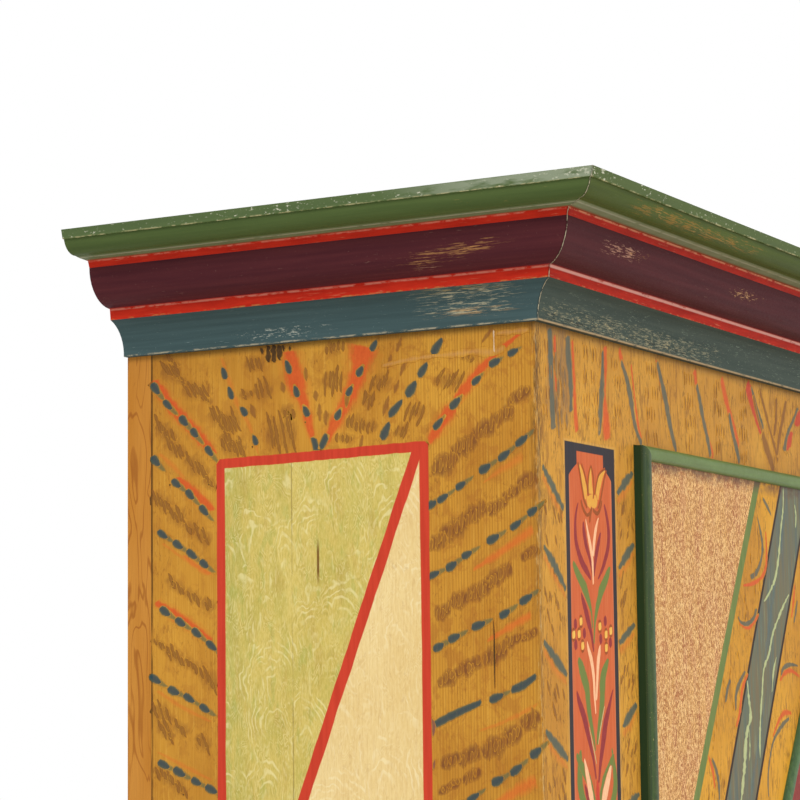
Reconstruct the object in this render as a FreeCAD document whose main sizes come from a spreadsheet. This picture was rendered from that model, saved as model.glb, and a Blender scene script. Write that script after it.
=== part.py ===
import FreeCAD, Part
import math
import os
import re

import Sketcher
from FreeCAD import Placement, Rotation, Vector

# A kas: a wide two-door cupboard on ball feet, with a deep mitred cornice, a pair of
# drawers under the doors, and bead mouldings round the doors that hide the hinge knuckles.
# Frame: +X to the right, +Y to the back, +Z up, origin under the middle of the whole piece.

# Driving dimensions in millimetres: name, value.
DIMENSIONS = (
    # case
    ("case_width", 1640), ("case_depth", 500), ("side_thickness", 22),
    ("frame_thickness", 28), ("stile_width", 238), ("muntin_width", 60),
    ("side_board_joint", 289), ("back_post_depth", 31), ("back_board_thickness", 16),
    ("bottom_thickness", 20), ("floor_thickness", 22), ("top_thickness", 20),
    ("top_recess", 18),
    # heights, from the ground up
    ("foot_height", 130), ("base_rail_height", 65), ("drawer_opening_height", 180),
    ("waist_rail_height", 45), ("door_opening_height", 1282), ("frieze_height", 106),
    # cornice: crown, ovolo and cove, one above the other
    ("crown_reach", 126), ("crown_fillet_height", 10), ("crown_fillet_lean", 2.7),
    ("crown_quirk", 2.5), ("crown_round_foot", 100), ("crown_round_drop", 25),
    ("crown_round_radius", 19.5), ("crown_lip_reach", 92), ("crown_lip_drop", 1.2),
    ("crown_band_reach", 76.4), ("crown_band_top", 27.3), ("crown_band_lean", 2.8),
    ("crown_height", 34.6),
    ("ovolo_foot", 36.6), ("ovolo_radius", 40.2), ("ovolo_drop", 40.3),
    ("ovolo_band_reach", 34.8), ("ovolo_band_lean", 1.6), ("ovolo_height", 52.5),
    ("cove_foot", 7.7), ("cove_radius", 38.1), ("cove_height", 37.9),
    # waist and base mouldings
    ("waist_moulding_height", 40), ("waist_moulding_fillet", 14), ("waist_moulding_edge", 7),
    ("waist_moulding_radius", 14), ("waist_moulding_drop", 3),
    ("base_moulding_height", 60), ("base_moulding_reach", 30), ("base_plinth_height", 30),
    ("base_moulding_quirk", 3), ("base_cove_top", 52), ("base_cove_radius", 21),
    ("base_fillet_reach", 9),
    # feet
    ("foot_inset", 92), ("foot_pad_radius", 46), ("foot_belly_radius", 69),
    ("foot_belly_height", 58), ("foot_neck_radius", 40), ("foot_neck_height", 108),
    ("foot_collar_radius", 50), ("foot_collar_height", 14), ("foot_tenon_radius", 15),
    ("tenon_clearance", 0.2), ("rear_foot_width", 80),
    # inside the cupboard
    ("shelf_thickness", 22), ("shelf_setback", 62), ("shelf_count", 3),
    ("cleat_width", 20), ("cleat_height", 30), ("cleat_setback", 90), ("back_board_count", 6),
    ("stop_depth", 18), ("stop_lap", 17), ("stop_grip", 40), ("stop_clearance", 0.5), ("stop_end_room", 14),
    # doors
    ("door_gap", 1), ("leaf_proud", 8), ("leaf_thickness", 26), ("leaf_board_count", 3),
    ("batten_height", 90), ("batten_thickness", 20), ("batten_inset", 22),
    ("batten_meeting_inset", 75), ("batten_offset", 110),
    ("bead_width", 16), ("bead_height", 8), ("bead_round", 7.4),
    ("lozenge_half_width", 347), ("lozenge_half_height", 549), ("lozenge_bead_width", 16),
    # hinges
    ("upper_hinge_drop", 440), ("lower_hinge_rise", 280), ("knuckle_radius", 8),
    ("knuckle_length", 45), ("knuckle_gap", 0.3), ("pin_radius", 3.5), ("pin_clearance", 0.08),
    ("pin_reach", 38), ("pin_end_room", 2), ("finial_neck_radius", 3), ("finial_neck_height", 3),
    ("finial_radius", 5), ("finial_sink", 0.75), ("hinge_plate_thickness", 2), ("hinge_plate_depth", 24),
    ("hinge_plate_length", 40), ("hinge_room", 0.6),
    # lock and key
    ("lock_height", 1000), ("lock_inset", 5), ("lock_width", 112), ("lock_tall", 92),
    ("lock_depth", 18), ("lock_wall", 2), ("lock_bolt_height", 22), ("lock_bolt_thickness", 9),
    ("lock_bolt_length", 78), ("lock_bolt_clearance", 0.3), ("key_bolt_gap", 1),
    ("key_distance", 60), ("key_shaft_radius", 3.2), ("key_clearance", 0.08),
    ("key_reach", 38), ("key_tip_room", 3), ("key_bit_length", 12), ("key_bit_height", 9),
    ("key_bit_thickness", 2.4), ("key_slot_clearance", 0.4), ("key_bow_radius", 13),
    ("key_bow_wire", 2.6), ("key_collar_radius", 5.2), ("key_collar_height", 6),
    ("keeper_width", 20), ("keeper_tall", 46), ("keeper_inset", 4), ("keeper_clearance", 1),
    ("escutcheon_thickness", 1.6), ("escutcheon_radius", 15), ("escutcheon_foot_radius", 10),
    ("escutcheon_foot_drop", 22), ("escutcheon_head_radius", 7), ("escutcheon_head_rise", 17),
    ("escutcheon_clearance", 0.6),
    # slide bolts on the left door
    ("slide_bolt_inset", 40), ("slide_bolt_width", 14), ("slide_bolt_thickness", 6),
    ("slide_bolt_length", 180), ("slide_bolt_clearance", 0.3),
    ("slide_bolt_room", 2), ("bolt_plate_width", 40), ("bolt_plate_thickness", 6),
    ("bolt_plate_length", 120), ("bolt_plate_end", 45), ("staple_wall", 3),
    ("staple_height", 14), ("bolt_knob_radius", 5), ("bolt_knob_length", 12),
    ("bolt_hole_clearance", 1),
    # drawers
    ("drawer_gap", 1.5), ("drawer_front_thickness", 22), ("drawer_side_thickness", 14),
    ("drawer_side_height", 150), ("drawer_length", 420), ("drawer_bottom_thickness", 8),
    ("drawer_bottom_rise", 12), ("drawer_groove", 6), ("drawer_groove_clearance", 0.3),
    ("runner_width", 50), ("runner_guide_width", 20), ("runner_guide_height", 20),
    ("knob_spacing", 300), ("knob_radius", 19), ("knob_length", 34), ("knob_neck_radius", 8),
    ("knob_neck_length", 10), ("knob_foot_radius", 12), ("knob_foot_length", 3),
    ("knob_button_radius", 5), ("knob_widest", 23.8), ("knob_face_round", 26),
)

# Places that follow from the sizes: name, formula.
PLACES = (
    ("half_width", "case_width / 2"),
    ("front_y", "(crown_reach - case_depth) / 2"),
    ("frame_back", "front_y + frame_thickness"),
    ("back_y", "front_y + case_depth"),
    ("panel_back", "back_y - back_board_thickness"),
    ("inner_x", "half_width - side_thickness"),
    ("opening_x", "half_width - stile_width"),
    ("drawer_z", "foot_height + base_rail_height"),
    ("waist_z", "drawer_z + drawer_opening_height"),
    ("door_z", "waist_z + waist_rail_height"),
    ("frieze_z", "door_z + door_opening_height"),
    ("cornice_z", "frieze_z + frieze_height"),
    ("crown_z", "cornice_z + cove_height + ovolo_height + crown_height"),
    ("top_z", "crown_z - top_recess"),
    ("bottom_top", "foot_height + bottom_thickness"),
    ("floor_top", "waist_z + floor_thickness"),
    ("leaf_face", "front_y - leaf_proud"),
    ("leaf_back", "leaf_face + leaf_thickness"),
    ("leaf_low", "door_z + door_gap"),
    ("leaf_high", "frieze_z - door_gap"),
    ("leaf_outer", "opening_x - door_gap"),
    ("leaf_inner", "door_gap"),
    ("pivot_x", "leaf_outer - knuckle_radius"),
    ("pivot_y", "leaf_face"),
    ("hinge_half", "knuckle_length + finial_neck_height + 2 * finial_radius + hinge_room"),
    ("upper_hinge_z", "frieze_z - upper_hinge_drop"),
    ("lower_hinge_z", "door_z + lower_hinge_rise"),
    ("lozenge_z", "door_z + door_opening_height / 2"),
    ("shelf_pitch", "(top_z - top_thickness - floor_top) / (shelf_count + 1)"),
    ("key_x", "leaf_inner + lock_inset + key_distance"),
    ("bolt_y", "leaf_back + bolt_plate_thickness"),
    ("drawer_inner", "muntin_width / 2 + drawer_gap"),
    ("drawer_outer", "opening_x - drawer_gap"),
    ("drawer_back", "front_y + drawer_length"),
)

ALIAS = {"sqrt": "sqrt"}
ALIAS.update({name: "sizes." + name for name, value in DIMENSIONS})
ALIAS.update({name: "places." + name for name, text in PLACES})
WORD = re.compile(r"[a-z][a-z_]*[a-z]")

doc = FreeCAD.newDocument("kas_cupboard")
sizes = doc.addObject("Spreadsheet::Sheet", "sizes")
for row, (name, value) in enumerate(DIMENSIONS, start=1):
    sizes.set("A%d" % row, str(value))
    sizes.setAlias("A%d" % row, name)


def formula(text):
    """Gives each size and place in a formula the name that the document knows it by."""
    return WORD.sub(lambda word: ALIAS[word.group(0)], str(text))


places = doc.addObject("App::VarSet", "places")
for name, text in PLACES:
    places.addProperty("App::PropertyFloat", name)
    places.setExpression(name, formula(text))
doc.recompute()

nodes = {}


def number(text):
    """The present value of a formula."""
    return float(places.evalExpression(formula(text)))


def node(label, *solids):
    """Names one sub-part, made of one object or of several that lie together."""
    piece = solids[0]
    if len(solids) > 1:
        piece = doc.addObject("Part::Compound", label)
        piece.Links = list(solids)
    piece.Label = label
    nodes[label] = piece
    return piece


def bind_place(piece, x=None, y=None, z=None):
    for axis, text in zip("xyz", (x, y, z)):
        if text is not None:
            piece.setExpression("Placement.Base." + axis, formula(text))


def box(name, x, y, z):
    """A block between two formulas along each axis."""
    block = doc.addObject("Part::Box", name)
    for size, (low, high) in zip(("Length", "Width", "Height"), (x, y, z)):
        block.setExpression(size, formula("(%s) - (%s)" % (high, low)))
    bind_place(block, x[0], y[0], z[0])
    return block


def cylinder(name, radius, height, x, y, z, turn=None):
    """A rod that starts at a point and runs along +Z, or where turn takes it."""
    rod = doc.addObject("Part::Cylinder", name)
    if turn is not None:
        rod.Placement = Placement(Vector(), turn)
    rod.setExpression("Radius", formula(radius))
    rod.setExpression("Height", formula(height))
    bind_place(rod, x, y, z)
    return rod


def ball(name, radius, x, y, z):
    sphere = doc.addObject("Part::Sphere", name)
    sphere.setExpression("Radius", formula(radius))
    bind_place(sphere, x, y, z)
    return sphere


def cut(name, base, *tools):
    tool = tools[0]
    if len(tools) > 1:
        tool = doc.addObject("Part::MultiFuse", name + "_cutters")
        tool.Shapes = list(tools)
    result = doc.addObject("Part::Cut", name)
    result.Base = base
    result.Tool = tool
    return result


def fuse(name, *solids):
    result = doc.addObject("Part::MultiFuse", name)
    result.Shapes = list(solids)
    result.Refine = True
    return result


def span(hand, near, far):
    """A pair of formulas on the right (hand 1) or the left (hand -1) of the middle plane."""
    return (near, far) if hand > 0 else ("-(%s)" % far, "-(%s)" % near)


def at(hand, x):
    return x if hand > 0 else "-(%s)" % x


SIDES = (("left", -1), ("right", 1))
FORWARD = Rotation(Vector(1, 0, 0), 90)    # turns +Z to -Y, out of the front
BACKWARD = Rotation(Vector(1, 0, 0), -90)  # turns +Z to +Y, into the cupboard


def outline(body, name, plane, points, outward=1):
    """Draws a closed, fully bound sketch on one of the body's own origin planes.

    A point is (x, y), reached by a straight edge, or (x, y, radius, "out" or "in"), reached
    by an arc that swells towards or away from the outward side of the sketch's x axis.
    Arcs are drawn anticlockwise, so the ends of some are swapped.
    """
    sketch = body.newObject("Sketcher::SketchObject", name)
    support = [plane_ for plane_ in body.Origin.OriginFeatures if plane_.Role == plane][0]
    sketch.AttachmentSupport = (support, [""])
    sketch.MapMode = "FlatFace"
    corners = [Vector(number(point[0]), number(point[1]), 0) for point in points]
    ends = []
    for index, point in enumerate(points):
        start, end = corners[index - 1], corners[index]
        ends.append((1, 2))
        if len(point) == 2:
            sketch.addGeometry(Part.LineSegment(start, end), False)
        else:
            radius = number(point[2])
            half_chord = (end - start).Length / 2
            rise = radius - math.sqrt(radius ** 2 - half_chord ** 2)
            across = Vector(start.y - end.y, end.x - start.x, 0).normalize()
            if (across.x * outward > 0) != (point[3] == "out"):
                across = across * -1
            middle = (start + end) / 2 + across * rise
            if (middle - start).cross(end - middle).z < 0:
                start, end = end, start
                ends[index] = (2, 1)
            sketch.addGeometry(Part.Arc(start, middle, end), False)
    for index, point in enumerate(points):
        following = (index + 1) % len(points)
        join = Sketcher.Constraint("Coincident", index, ends[index][1], following, ends[following][0])
        sketch.addConstraint(join)
        for kind, text in zip(("DistanceX", "DistanceY"), point[:2]):
            place = Sketcher.Constraint(kind, -1, 1, index, ends[index][1], number(text))
            added = sketch.addConstraint(place)
            sketch.setExpression("Constraints[%d]" % added, formula(text))
        if len(point) > 2:
            added = sketch.addConstraint(Sketcher.Constraint("Radius", index, number(point[2])))
            sketch.setExpression("Constraints[%d]" % added, formula(point[2]))
    return sketch


def pad(body, name, sketch, length, symmetric=False):
    feature = body.newObject("PartDesign::Pad", name)
    feature.Profile = sketch
    feature.SideType = "Symmetric" if symmetric else "One side"
    feature.setExpression("Length", formula(length))
    return feature


def cut_upwards(body, name, sketch):
    """Cuts a sketch on the ground plane up through everything above it."""
    feature = body.newObject("PartDesign::Pocket", name)
    feature.Profile = sketch
    feature.Type = "ThroughAll"
    feature.Reversed = True
    return feature


def turned(name, points):
    """A piece turned on a lathe about +Z, from half of its outline."""
    body = doc.addObject("PartDesign::Body", name)
    profile = outline(body, name + "_profile", "XZ_Plane", points)
    feature = body.newObject("PartDesign::Revolution", name + "_turning")
    feature.Profile = profile
    feature.ReferenceAxis = (profile, ["V_Axis"])
    feature.Angle = 360
    return body


# ---------------------------------------------------------------- mitred mouldings

CROWN = (
    ("0", "crown_z"), ("crown_reach", "crown_z"),
    ("crown_reach - crown_fillet_lean", "crown_z - crown_fillet_height"),
    ("crown_reach - crown_fillet_lean - crown_quirk", "crown_z - crown_fillet_height"),
    ("crown_round_foot", "crown_z - crown_round_drop", "crown_round_radius", "out"),
    ("crown_lip_reach", "crown_z - crown_round_drop - crown_lip_drop"),
    ("crown_band_reach", "crown_z - crown_band_top"),
    ("crown_band_reach - crown_band_lean", "crown_z - crown_height"),
    ("0", "crown_z - crown_height"),
)
OVOLO = (
    ("0", "crown_z - crown_height"),
    ("crown_band_reach - crown_band_lean", "crown_z - crown_height"),
    ("ovolo_foot", "crown_z - crown_height - ovolo_drop", "ovolo_radius", "out"),
    ("ovolo_band_reach", "crown_z - crown_height - ovolo_drop"),
    ("ovolo_band_reach - ovolo_band_lean", "cornice_z + cove_height"),
    ("0", "cornice_z + cove_height"),
)
COVE = (
    ("0", "cornice_z + cove_height"),
    ("ovolo_band_reach - ovolo_band_lean", "cornice_z + cove_height"),
    ("cove_foot", "cornice_z", "cove_radius", "in"),
    ("0", "cornice_z"),
)
WAIST_TOP = "door_z - waist_moulding_drop"
WAIST_LOW = "door_z - waist_moulding_drop - waist_moulding_height"
WAIST = (
    ("0", WAIST_TOP), ("waist_moulding_fillet", WAIST_TOP),
    ("waist_moulding_fillet", WAIST_TOP + " - waist_moulding_edge"),
    ("waist_moulding_fillet", WAIST_LOW + " + waist_moulding_edge", "waist_moulding_radius", "out"),
    ("waist_moulding_fillet", WAIST_LOW), ("0", WAIST_LOW),
)
BASE = (
    ("0", "foot_height"), ("base_moulding_reach", "foot_height"),
    ("base_moulding_reach", "foot_height + base_plinth_height"),
    ("base_moulding_reach - base_moulding_quirk", "foot_height + base_plinth_height"),
    ("base_fillet_reach", "foot_height + base_cove_top", "base_cove_radius", "in"),
    ("base_fillet_reach", "foot_height + base_moulding_height"),
    ("0", "foot_height + base_moulding_height"),
)


def mitred_front(name, profile, reach):
    """A moulding run along the front, cut at 45 degrees over both corners of the case."""
    body = doc.addObject("PartDesign::Body", name)
    points = [("front_y - (%s)" % point[0],) + point[1:] for point in profile]
    section = outline(body, name + "_section", "YZ_Plane", points, outward=-1)
    pad(body, name + "_run", section, "case_width + 2 * (%s)" % reach, symmetric=True)
    for side, hand in SIDES:
        corner = at(hand, "half_width")
        tip = at(hand, "half_width + %s + %s" % (reach, reach))
        triangle = (
            (corner, "front_y"), (tip, "front_y - %s - %s" % (reach, reach)), (tip, "front_y"))
        mitre = outline(body, "%s_%s_mitre" % (name, side), "XY_Plane", triangle)
        cut_upwards(body, "%s_%s_mitre_cut" % (name, side), mitre)
    return body


def mitred_return(name, profile, reach, hand):
    """The same moulding carried back along one side, square at the back."""
    body = doc.addObject("PartDesign::Body", name)
    points = [(at(hand, "half_width + (%s)" % point[0]),) + point[1:] for point in profile]
    section = outline(body, name + "_section", "XZ_Plane", points, outward=hand)
    pad(body, name + "_run", section, "case_depth + (%s)" % reach)
    corner = at(hand, "half_width")
    tip = at(hand, "half_width + %s + %s" % (reach, reach))
    triangle = (
        (corner, "-case_depth"), (tip, "-case_depth - %s - %s" % (reach, reach)),
        (corner, "-case_depth - %s - %s" % (reach, reach)))
    mitre = outline(body, name + "_mitre", "XY_Plane", triangle)
    cut_upwards(body, name + "_mitre_cut", mitre)
    bind_place(body, y="back_y")
    return body


def returns(name, profile, reach):
    return [mitred_return("%s_%s" % (name, side), profile, reach, hand) for side, hand in SIDES]


def make_mouldings():
    for name, profile, reach in (
            ("cornice_crown", CROWN, "crown_reach"),
            ("cornice_ovolo", OVOLO, "crown_band_reach"),
            ("cornice_cove", COVE, "ovolo_band_reach")):
        node(name + "_front", mitred_front(name + "_front_run", profile, reach))
        node(name + "_returns", *returns(name, profile, reach))
    waist_reach = "(waist_moulding_fillet + waist_moulding_radius)"
    for name, profile, reach in (
            ("waist_moulding", WAIST, waist_reach), ("base_moulding", BASE, "base_moulding_reach")):
        front = mitred_front(name + "_front_run", profile, reach)
        node(name, front, *returns(name, profile, reach))


# ---------------------------------------------------------------- case

def make_case_frame():
    height = ("foot_height", "top_z")
    for side, hand in SIDES:
        skin = span(hand, "inner_x", "half_width")
        joint = "front_y + side_board_joint"
        node(side + "_side_boards",
             box(side + "_side_front_board", skin, ("frame_back", joint), height),
             box(side + "_side_rear_board", skin, (joint, "back_y - back_post_depth"), height))
        node(side + "_back_post",
             box(side + "_post", skin, ("back_y - back_post_depth", "back_y"), height))
        plank = box(side + "_stile_plank", span(hand, "opening_x", "half_width"),
                    ("front_y", "frame_back"), height)
        rebates = []
        for level in ("upper", "lower"):
            low = "%s_hinge_z - knuckle_length" % level
            rebates.append(box(
                "%s_%s_rebate" % (side, level),
                span(hand, "opening_x", "opening_x + hinge_plate_thickness"),
                ("front_y - leaf_proud", "front_y + hinge_plate_depth"),
                (low, low + " + hinge_plate_length")))
        node(side + "_stile", cut(side + "_stile_cut", plank, *rebates))
    front = ("front_y", "frame_back")
    across = ("-opening_x", "opening_x")
    node("frieze_board", box("frieze", across, front, ("frieze_z", "top_z")))
    node("waist_rail", box("waist", across, front, ("waist_z", "door_z")))
    node("base_rail", box("base", across, front, ("foot_height", "drawer_z")))
    muntin = ("-muntin_width / 2", "muntin_width / 2")
    node("drawer_muntin", box("muntin", muntin, front, ("drawer_z", "waist_z")))


def make_case_boards():
    wide = ("-inner_x", "inner_x")
    deep = ("frame_back", "panel_back")
    plank = box("bottom_plank", wide, deep, ("foot_height", "bottom_top"))
    holes = []
    for side, hand in SIDES:
        holes.append(cylinder(
            side + "_tenon_hole", "foot_tenon_radius + tenon_clearance", "bottom_thickness",
            at(hand, "half_width - foot_inset"), "front_y + foot_inset", "foot_height"))
    node("case_bottom", cut("bottom_cut", plank, *holes))
    node("cupboard_floor", box("floor_plank", wide, deep, ("waist_z", "floor_top")))
    node("case_top", box("top_plank", wide, deep, ("top_z - top_thickness", "top_z")))
    boards = []
    count = int(number("back_board_count"))
    for index in range(count):
        share = "-inner_x + 2 * inner_x * %d / back_board_count"
        boards.append(box("back_board_%d" % index, (share % index, share % (index + 1)),
                          ("panel_back", "back_y"), ("foot_height", "top_z")))
    node("back_boards", *boards)


def make_shelves():
    planks = []
    cleats = []
    for index in range(1, int(number("shelf_count")) + 1):
        top = "floor_top + shelf_pitch * %d" % index
        low = top + " - shelf_thickness"
        planks.append(box("shelf_%d" % index, ("-inner_x", "inner_x"),
                          ("front_y + shelf_setback", "panel_back"), (low, top)))
        for side, hand in SIDES:
            cleats.append(box("%s_cleat_%d" % (side, index),
                              span(hand, "inner_x - cleat_width", "inner_x"),
                              ("front_y + cleat_setback", "panel_back"),
                              (low + " - cleat_height", low)))
    node("shelves", *planks)
    node("shelf_cleats", *cleats)


def door_stop(name, lap_z, grip_z):
    """An angled strip: one leg laps behind the leaf, the other is fixed to the case."""
    across = ("stop_end_room - opening_x", "opening_x - stop_end_room")
    lap = box(name + "_lap", across, ("leaf_back + stop_clearance", "frame_back + stop_depth"), lap_z)
    grip = box(name + "_grip", across, ("frame_back", "frame_back + stop_depth"), grip_z)
    strip = fuse(name + "_strip", lap, grip)
    bolt_x = "leaf_inner + slide_bolt_inset"
    half = "slide_bolt_width / 2 + bolt_hole_clearance"
    hole = box(name + "_bolt_hole",
               span(-1, bolt_x + " - (%s)" % half, bolt_x + " + (%s)" % half),
               ("bolt_y - bolt_hole_clearance", "bolt_y + slide_bolt_thickness + bolt_hole_clearance"),
               lap_z)
    return cut(name + "_cut", strip, hole)


def make_door_stops():
    node("upper_door_stop", door_stop(
        "upper_stop", ("frieze_z - stop_lap", "frieze_z"),
        ("frieze_z", "frieze_z + stop_grip")))
    node("lower_door_stop", door_stop(
        "lower_stop", ("door_z", "door_z + stop_lap"), ("floor_top", "door_z")))


def make_runners():
    """Angled strips that carry the drawer sides and keep the drawers straight."""
    runners = []
    top = "drawer_z"
    guide_top = "drawer_z + runner_guide_height"
    for side, hand in SIDES:
        body = doc.addObject("PartDesign::Body", side + "_runner")
        inner = at(hand, "opening_x + runner_guide_width - runner_width")
        guide = at(hand, "opening_x")
        outer = at(hand, "opening_x + runner_guide_width")
        section = outline(body, side + "_runner_section", "XZ_Plane", (
            (inner, "bottom_top"), (outer, "bottom_top"), (outer, guide_top),
            (guide, guide_top), (guide, top), (inner, top)))
        pad(body, side + "_runner_run", section, "panel_back - frame_back")
        bind_place(body, y="panel_back")
        runners.append(body)
    body = doc.addObject("PartDesign::Body", "middle_runner")
    reach = "muntin_width / 2 + runner_width - runner_guide_width"
    section = outline(body, "middle_runner_section", "XZ_Plane", (
        ("-(%s)" % reach, "bottom_top"), (reach, "bottom_top"), (reach, top),
        ("muntin_width / 2", top), ("muntin_width / 2", guide_top),
        ("-muntin_width / 2", guide_top), ("-muntin_width / 2", top), ("-(%s)" % reach, top)))
    pad(body, "middle_runner_run", section, "panel_back - frame_back")
    bind_place(body, y="panel_back")
    node("drawer_runners", runners[0], body, runners[1])


def make_feet():
    front = []
    rear = []
    for side, hand in SIDES:
        foot = turned(side + "_ball_foot", (
            ("0", "0"), ("foot_pad_radius", "0"),
            ("foot_belly_radius", "foot_belly_height", "foot_belly_radius", "out"),
            ("foot_neck_radius", "foot_neck_height", "foot_belly_radius", "out"),
            ("foot_neck_radius", "foot_height - foot_collar_height"),
            ("foot_collar_radius", "foot_height - foot_collar_height"),
            ("foot_collar_radius", "foot_height"), ("foot_tenon_radius", "foot_height"),
            ("foot_tenon_radius", "bottom_top"), ("0", "bottom_top")))
        bind_place(foot, at(hand, "half_width - foot_inset"), "front_y + foot_inset", "0")
        front.append(foot)
        rear.append(box(side + "_rear_post", span(hand, "half_width - rear_foot_width", "half_width"),
                        ("back_y - rear_foot_width", "back_y"), ("0", "foot_height")))
    node("front_feet", *front)
    node("rear_feet", *rear)


# ---------------------------------------------------------------- doors

def front_edges(shape, face_y, shortest):
    """Names of the long edges that lie on the front face of a raised band."""
    names = []
    for index, edge in enumerate(shape.Edges, start=1):
        on_face = all(abs(vertex.Y - face_y) < 1e-6 for vertex in edge.Vertexes)
        if on_face and edge.Length > shortest:
            names.append("Edge%d" % index)
    return names


def raised_band(name, points, width, openings=()):
    """A flat band stood on the door face, its front edges rounded over."""
    body = doc.addObject("PartDesign::Body", name)
    shape = outline(body, name + "_outline", "XZ_Plane", points)
    pad(body, name + "_band", shape, "bead_height")
    for index, opening in enumerate(openings):
        hole = outline(body, "%s_opening_%d" % (name, index), "XZ_Plane", opening)
        pocket = body.newObject("PartDesign::Pocket", "%s_pocket_%d" % (name, index))
        pocket.Profile = hole
        pocket.Type = "ThroughAll"
        pocket.Reversed = True
    doc.recompute()
    band = body.Tip
    edges = front_edges(band.Shape, -number("bead_height"), number(width) * 1.1)
    rounding = body.newObject("PartDesign::Fillet", name + "_round")
    rounding.Base = (band, edges)
    rounding.setExpression("Radius", formula("bead_round"))
    bind_place(body, y="leaf_face")
    return body


def rectangle(x, z):
    return ((x[0], z[0]), (x[1], z[0]), (x[1], z[1]), (x[0], z[1]))


def hinge_gap(level):
    """From just under the lower finial to just over the upper one."""
    return ("%s_hinge_z - hinge_half" % level, "%s_hinge_z + hinge_half" % level)


def make_edge_bead(side, hand):
    """A bead round the leaf, broken on the hinge side by the two hinges."""
    outer, inner = "leaf_outer", "leaf_outer - bead_width"
    meeting, meeting_in = "leaf_inner", "leaf_inner + bead_width"
    lower, upper = hinge_gap("lower"), hinge_gap("upper")
    top, top_in = "leaf_high", "leaf_high - bead_width"
    low, low_in = "leaf_low", "leaf_low + bead_width"
    walk = (
        (outer, upper[1]), (outer, top), (meeting, top), (meeting, low), (outer, low),
        (outer, lower[0]), (inner, lower[0]), (inner, low_in), (meeting_in, low_in),
        (meeting_in, top_in), (inner, top_in), (inner, upper[1]))
    long_run = raised_band(side + "_bead_run", [(at(hand, x), z) for x, z in walk], "bead_width")
    short = rectangle((at(hand, inner), at(hand, outer)), (lower[1], upper[0]))
    short_run = raised_band(side + "_bead_short_run", short, "bead_width")
    node(side + "_door_bead", long_run, short_run)


def make_lozenge_bead(side, hand):
    """Half of the large lozenge: two raised strips that meet in a point by the hinges."""
    butt = "leaf_inner + bead_width"
    slope = "lozenge_half_height / lozenge_half_width"
    width_up = "lozenge_bead_width * sqrt(1 + (%s) ^ 2)" % slope
    width_along = "lozenge_bead_width * sqrt(1 + 1 / (%s) ^ 2)" % slope
    outer_z = "(lozenge_half_width - (%s)) * %s" % (butt, slope)
    inner_z = outer_z + " - " + width_up
    walk = (
        (butt, "lozenge_z + " + outer_z), ("lozenge_half_width", "lozenge_z"),
        (butt, "lozenge_z - (%s)" % outer_z), (butt, "lozenge_z - (%s)" % inner_z),
        ("lozenge_half_width - " + width_along, "lozenge_z"), (butt, "lozenge_z + " + inner_z))
    band = raised_band(side + "_lozenge_band", [(at(hand, x), z) for x, z in walk],
                       "lozenge_bead_width")
    node(side + "_lozenge_bead", band)


def make_leaf(side, hand):
    """Upright boards, notched for the hinges and, on the right, bored for the key."""
    boards = []
    count = int(number("leaf_board_count"))
    share = "leaf_inner + (leaf_outer - leaf_inner) * %d / leaf_board_count"
    for index in range(count):
        x = span(hand, share % index, share % (index + 1))
        name = "%s_leaf_board_%d" % (side, index)
        board = box(name, x, ("leaf_face", "leaf_back"), ("leaf_low", "leaf_high"))
        cutters = []
        if index == count - 1:
            for level in ("upper", "lower"):
                cutters.append(box(
                    "%s_%s_notch" % (side, level),
                    span(hand, "pivot_x - knuckle_radius - hinge_room", "leaf_outer"),
                    ("leaf_face", "pivot_y + knuckle_radius + hinge_room"), hinge_gap(level)))
                plate_low = "%s_hinge_z + knuckle_length - hinge_plate_length" % level
                cutters.append(box(
                    "%s_%s_housing" % (side, level),
                    span(hand, "leaf_outer - hinge_plate_thickness", "leaf_outer"),
                    ("leaf_face", "leaf_face + hinge_plate_depth"),
                    (plate_low, plate_low + " + hinge_plate_length")))
        if index == 0 and hand > 0:
            cutters.append(cylinder("keyhole_round", "key_shaft_radius + key_clearance",
                                    "leaf_thickness", "key_x", "leaf_face", "lock_height", BACKWARD))
            half = "key_bit_thickness / 2 + key_slot_clearance"
            cutters.append(box("keyhole_slot", ("key_x - (%s)" % half, "key_x + %s" % half),
                               ("leaf_face", "leaf_back"),
                               ("lock_height - key_bit_length - key_slot_clearance", "lock_height")))
        boards.append(cut(name + "_cut", board, *cutters) if cutters else board)
    node(side + "_door_leaf", *boards)


def make_battens(side, hand):
    battens = []
    middle_heights = ("leaf_low + batten_offset", "leaf_high - batten_offset - batten_height")
    for name, low in zip(("lower", "upper"), middle_heights):
        battens.append(box(
            "%s_%s_batten" % (side, name),
            span(hand, "leaf_inner + batten_meeting_inset", "leaf_outer - batten_inset"),
            ("leaf_back", "leaf_back + batten_thickness"), (low, low + " + batten_height")))
    node(side + "_door_battens", *battens)


def finial(name, hand, middle, way):
    """A small neck and ball beyond one end of a hinge; way is 1 upwards, -1 downwards."""
    end = "%s + %d * knuckle_length" % (middle, way)
    neck_low = end if way > 0 else end + " - finial_neck_height"
    x, y = at(hand, "pivot_x"), "pivot_y"
    neck = cylinder(name + "_neck", "finial_neck_radius", "finial_neck_height", x, y, neck_low)
    centre = "%s + %d * (finial_neck_height + finial_radius - finial_sink)" % (end, way)
    return [neck, ball(name + "_ball", "finial_radius", x, y, centre)]


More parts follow.
